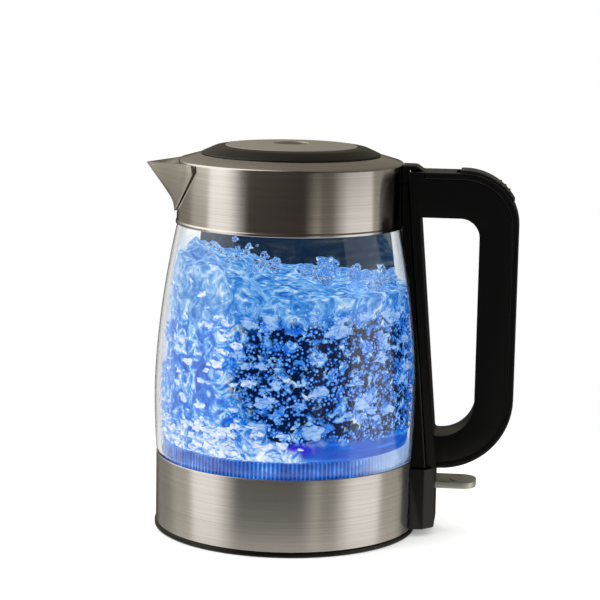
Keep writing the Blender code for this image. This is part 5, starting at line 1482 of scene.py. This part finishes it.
section = [(0.0, WATER_LEVEL)]
section += [(water_radius(WATER_LEVEL) * step / 22, WATER_LEVEL) for step in range(1, 23)]
heights = [WATER_LEVEL - (WATER_LEVEL - RING_TOP - 0.0008) * step / 26 for step in range(1, 27)]
section += [(water_radius(height), height) for height in heights]
section += [(0.0692, RING_TOP + 0.0002), (0.0692, WATER_FOOT), (0.0, WATER_FOOT)]
water = turned_piece("boiling_water", section, steps=144)
to_camera = Matrix.Rotation(-CAMERA_TURN, 3, "Z")
for vert in water.data.vertices:
    part = min(1.0, max(0.0, (vert.co.z - WATER_LEVEL + 0.030) / 0.030))
    if part > 0:
        seen = to_camera @ vert.co
        vert.co.z += part * (water_top(seen.x, seen.y) - WATER_LEVEL)
        reach = math.hypot(vert.co.x, vert.co.y)
        most = glass_radius(vert.co.z) - GLASS_WALL - 0.0007
        if reach > most:
            vert.co.x *= most / reach
            vert.co.y *= most / reach
finished(water, WATER, "jug", angle=60)

# %% [markdown]
# Bubbles rise along the glass. The small ones are spheres one to two millimetres across, in swarms. The big
# ones are flattened and crumpled, and foam gathers at the foot on the spout's side. Each swarm has its own
# dice with a fixed seed, so the scene comes out the same each time.

# %% Bubbles
def blob(mesh, place, size, crumple, subdivisions, key):
    """A crumpled ball with sizes along the jug's radius, round it and upwards."""
    outward = Vector((place.x, place.y, 0)).normalized()
    axes = (outward, Vector((-outward.y, outward.x, 0)), Vector((0, 0, 1)))
    made = bmesh.ops.create_icosphere(mesh, subdivisions=subdivisions, radius=1.0)["verts"]
    for vert in made:
        point = vert.co.copy()
        bulge = 1 + crumple * noise.noise(point * 1.6 + Vector((key, key * 0.7, -key)))
        offset = [bulge * size[i] * point[i] for i in range(3)]
        vert.co = place + axes[0] * offset[0] + axes[1] * offset[1] + axes[2] * offset[2]


def swarm(name, material, count, make, seed):
    """A piece of many blobs. make(random) gives a blob's place, size, crumple and subdivisions, or None."""
    dice = random.Random(seed)
    mesh = bmesh.new()
    made = 0
    for key in range(count * 6):
        wanted = make(dice)
        if wanted and made < count:
            blob(mesh, *wanted, key)
            made += 1
    data = bpy.data.meshes.new(name)
    mesh.to_mesh(data)
    mesh.free()
    piece = bpy.data.objects.new(name, data)
    bpy.context.scene.collection.objects.link(piece)
    finished(piece, material, "jug", angle=80)
    return made


def near_glass(dice, height, radius):
    """A point beside the glass's inner wall at a height, and how far across the jug it is seen."""
    angle = dice.uniform(0, 2 * math.pi)
    reach = glass_radius(height) - GLASS_WALL - 0.0005 - radius
    place = Vector((reach * math.cos(angle), reach * math.sin(angle), height))
    return place, (to_camera @ place).x


def small_bubble(dice):
    height = dice.uniform(0.0640, WATER_LEVEL - 0.004)
    radius = dice.choice((0.0005, 0.0006, 0.0007, 0.0009, 0.0012))
    place, across = near_glass(dice, height, radius + dice.uniform(0, 0.0016))
    crowd = noise.noise(place * 70) + 0.5 * noise.noise(place * 160)
    if across < -0.034 or crowd < -0.10:
        return None
    return place, (radius, radius, radius), 0.0, 1


def big_bubble(dice):
    height = dice.uniform(0.0700, WATER_LEVEL - 0.010)
    width = dice.uniform(0.0018, 0.0046) * (1.3 if dice.random() > 0.85 else 1.0)
    place, across = near_glass(dice, height, 0.0016)
    if across < -0.030 or noise.noise(place * 45) < -0.12:
        return None
    return place, (0.0014, width, width * dice.uniform(0.45, 0.8)), 0.9, 3


def foam_lump(dice):
    height = dice.uniform(0.0560, 0.0740)
    width = dice.uniform(0.0012, 0.0040)
    place, across = near_glass(dice, height, 0.0014)
    if across > 0.018 - (height - 0.056) * 1.2:
        return None
    return place, (0.0012, width, width * dice.uniform(0.3, 0.6)), 1.1, 2


def churned_lump(dice):
    height = dice.uniform(0.0740, WATER_LEVEL + 0.008)
    width = dice.uniform(0.0012, 0.0036)
    place, across = near_glass(dice, height, 0.0014)
    if across > -0.022:
        return None
    return place, (0.0012, width, width * dice.uniform(0.3, 0.7)), 1.2, 2


def splash_drop(dice):
    seen = Vector((dice.uniform(-0.050, 0.060), dice.uniform(-0.030, 0.045), 0.0))
    if math.hypot(seen.x, seen.y) > 0.060:
        return None
    top = water_top(seen.x, seen.y)
    crest = seen.x > 0.036 or 0.006 < seen.x < 0.026
    radius = dice.uniform(0.0012, 0.0042) if crest else dice.uniform(0.0006, 0.0018)
    if not crest and seen.x > -0.006:
        return None
    seen.z = top + (dice.uniform(-0.001, 0.007) if crest else dice.uniform(0.0, 0.009))
    return turn @ seen, (radius, radius * 1.3, radius), 1.0, 3


print("bubbles", swarm("small_bubbles", BUBBLE, 1700, small_bubble, 11),
      swarm("steam_bubbles", BIG_BUBBLE, 120, big_bubble, 12),
      swarm("foam_at_foot", FOAM, 230, foam_lump, 13),
      swarm("churned_foam", FOAM, 190, churned_lump, 14),
      swarm("clear_splashes", SPLASH, 90, splash_drop, 15))

# %% [markdown]
# ## The end
#
# At the end nothing is left selected, and the view layer is brought up to date.

# %% The end
bpy.ops.object.select_all(action="DESELECT")
bpy.context.view_layer.update()
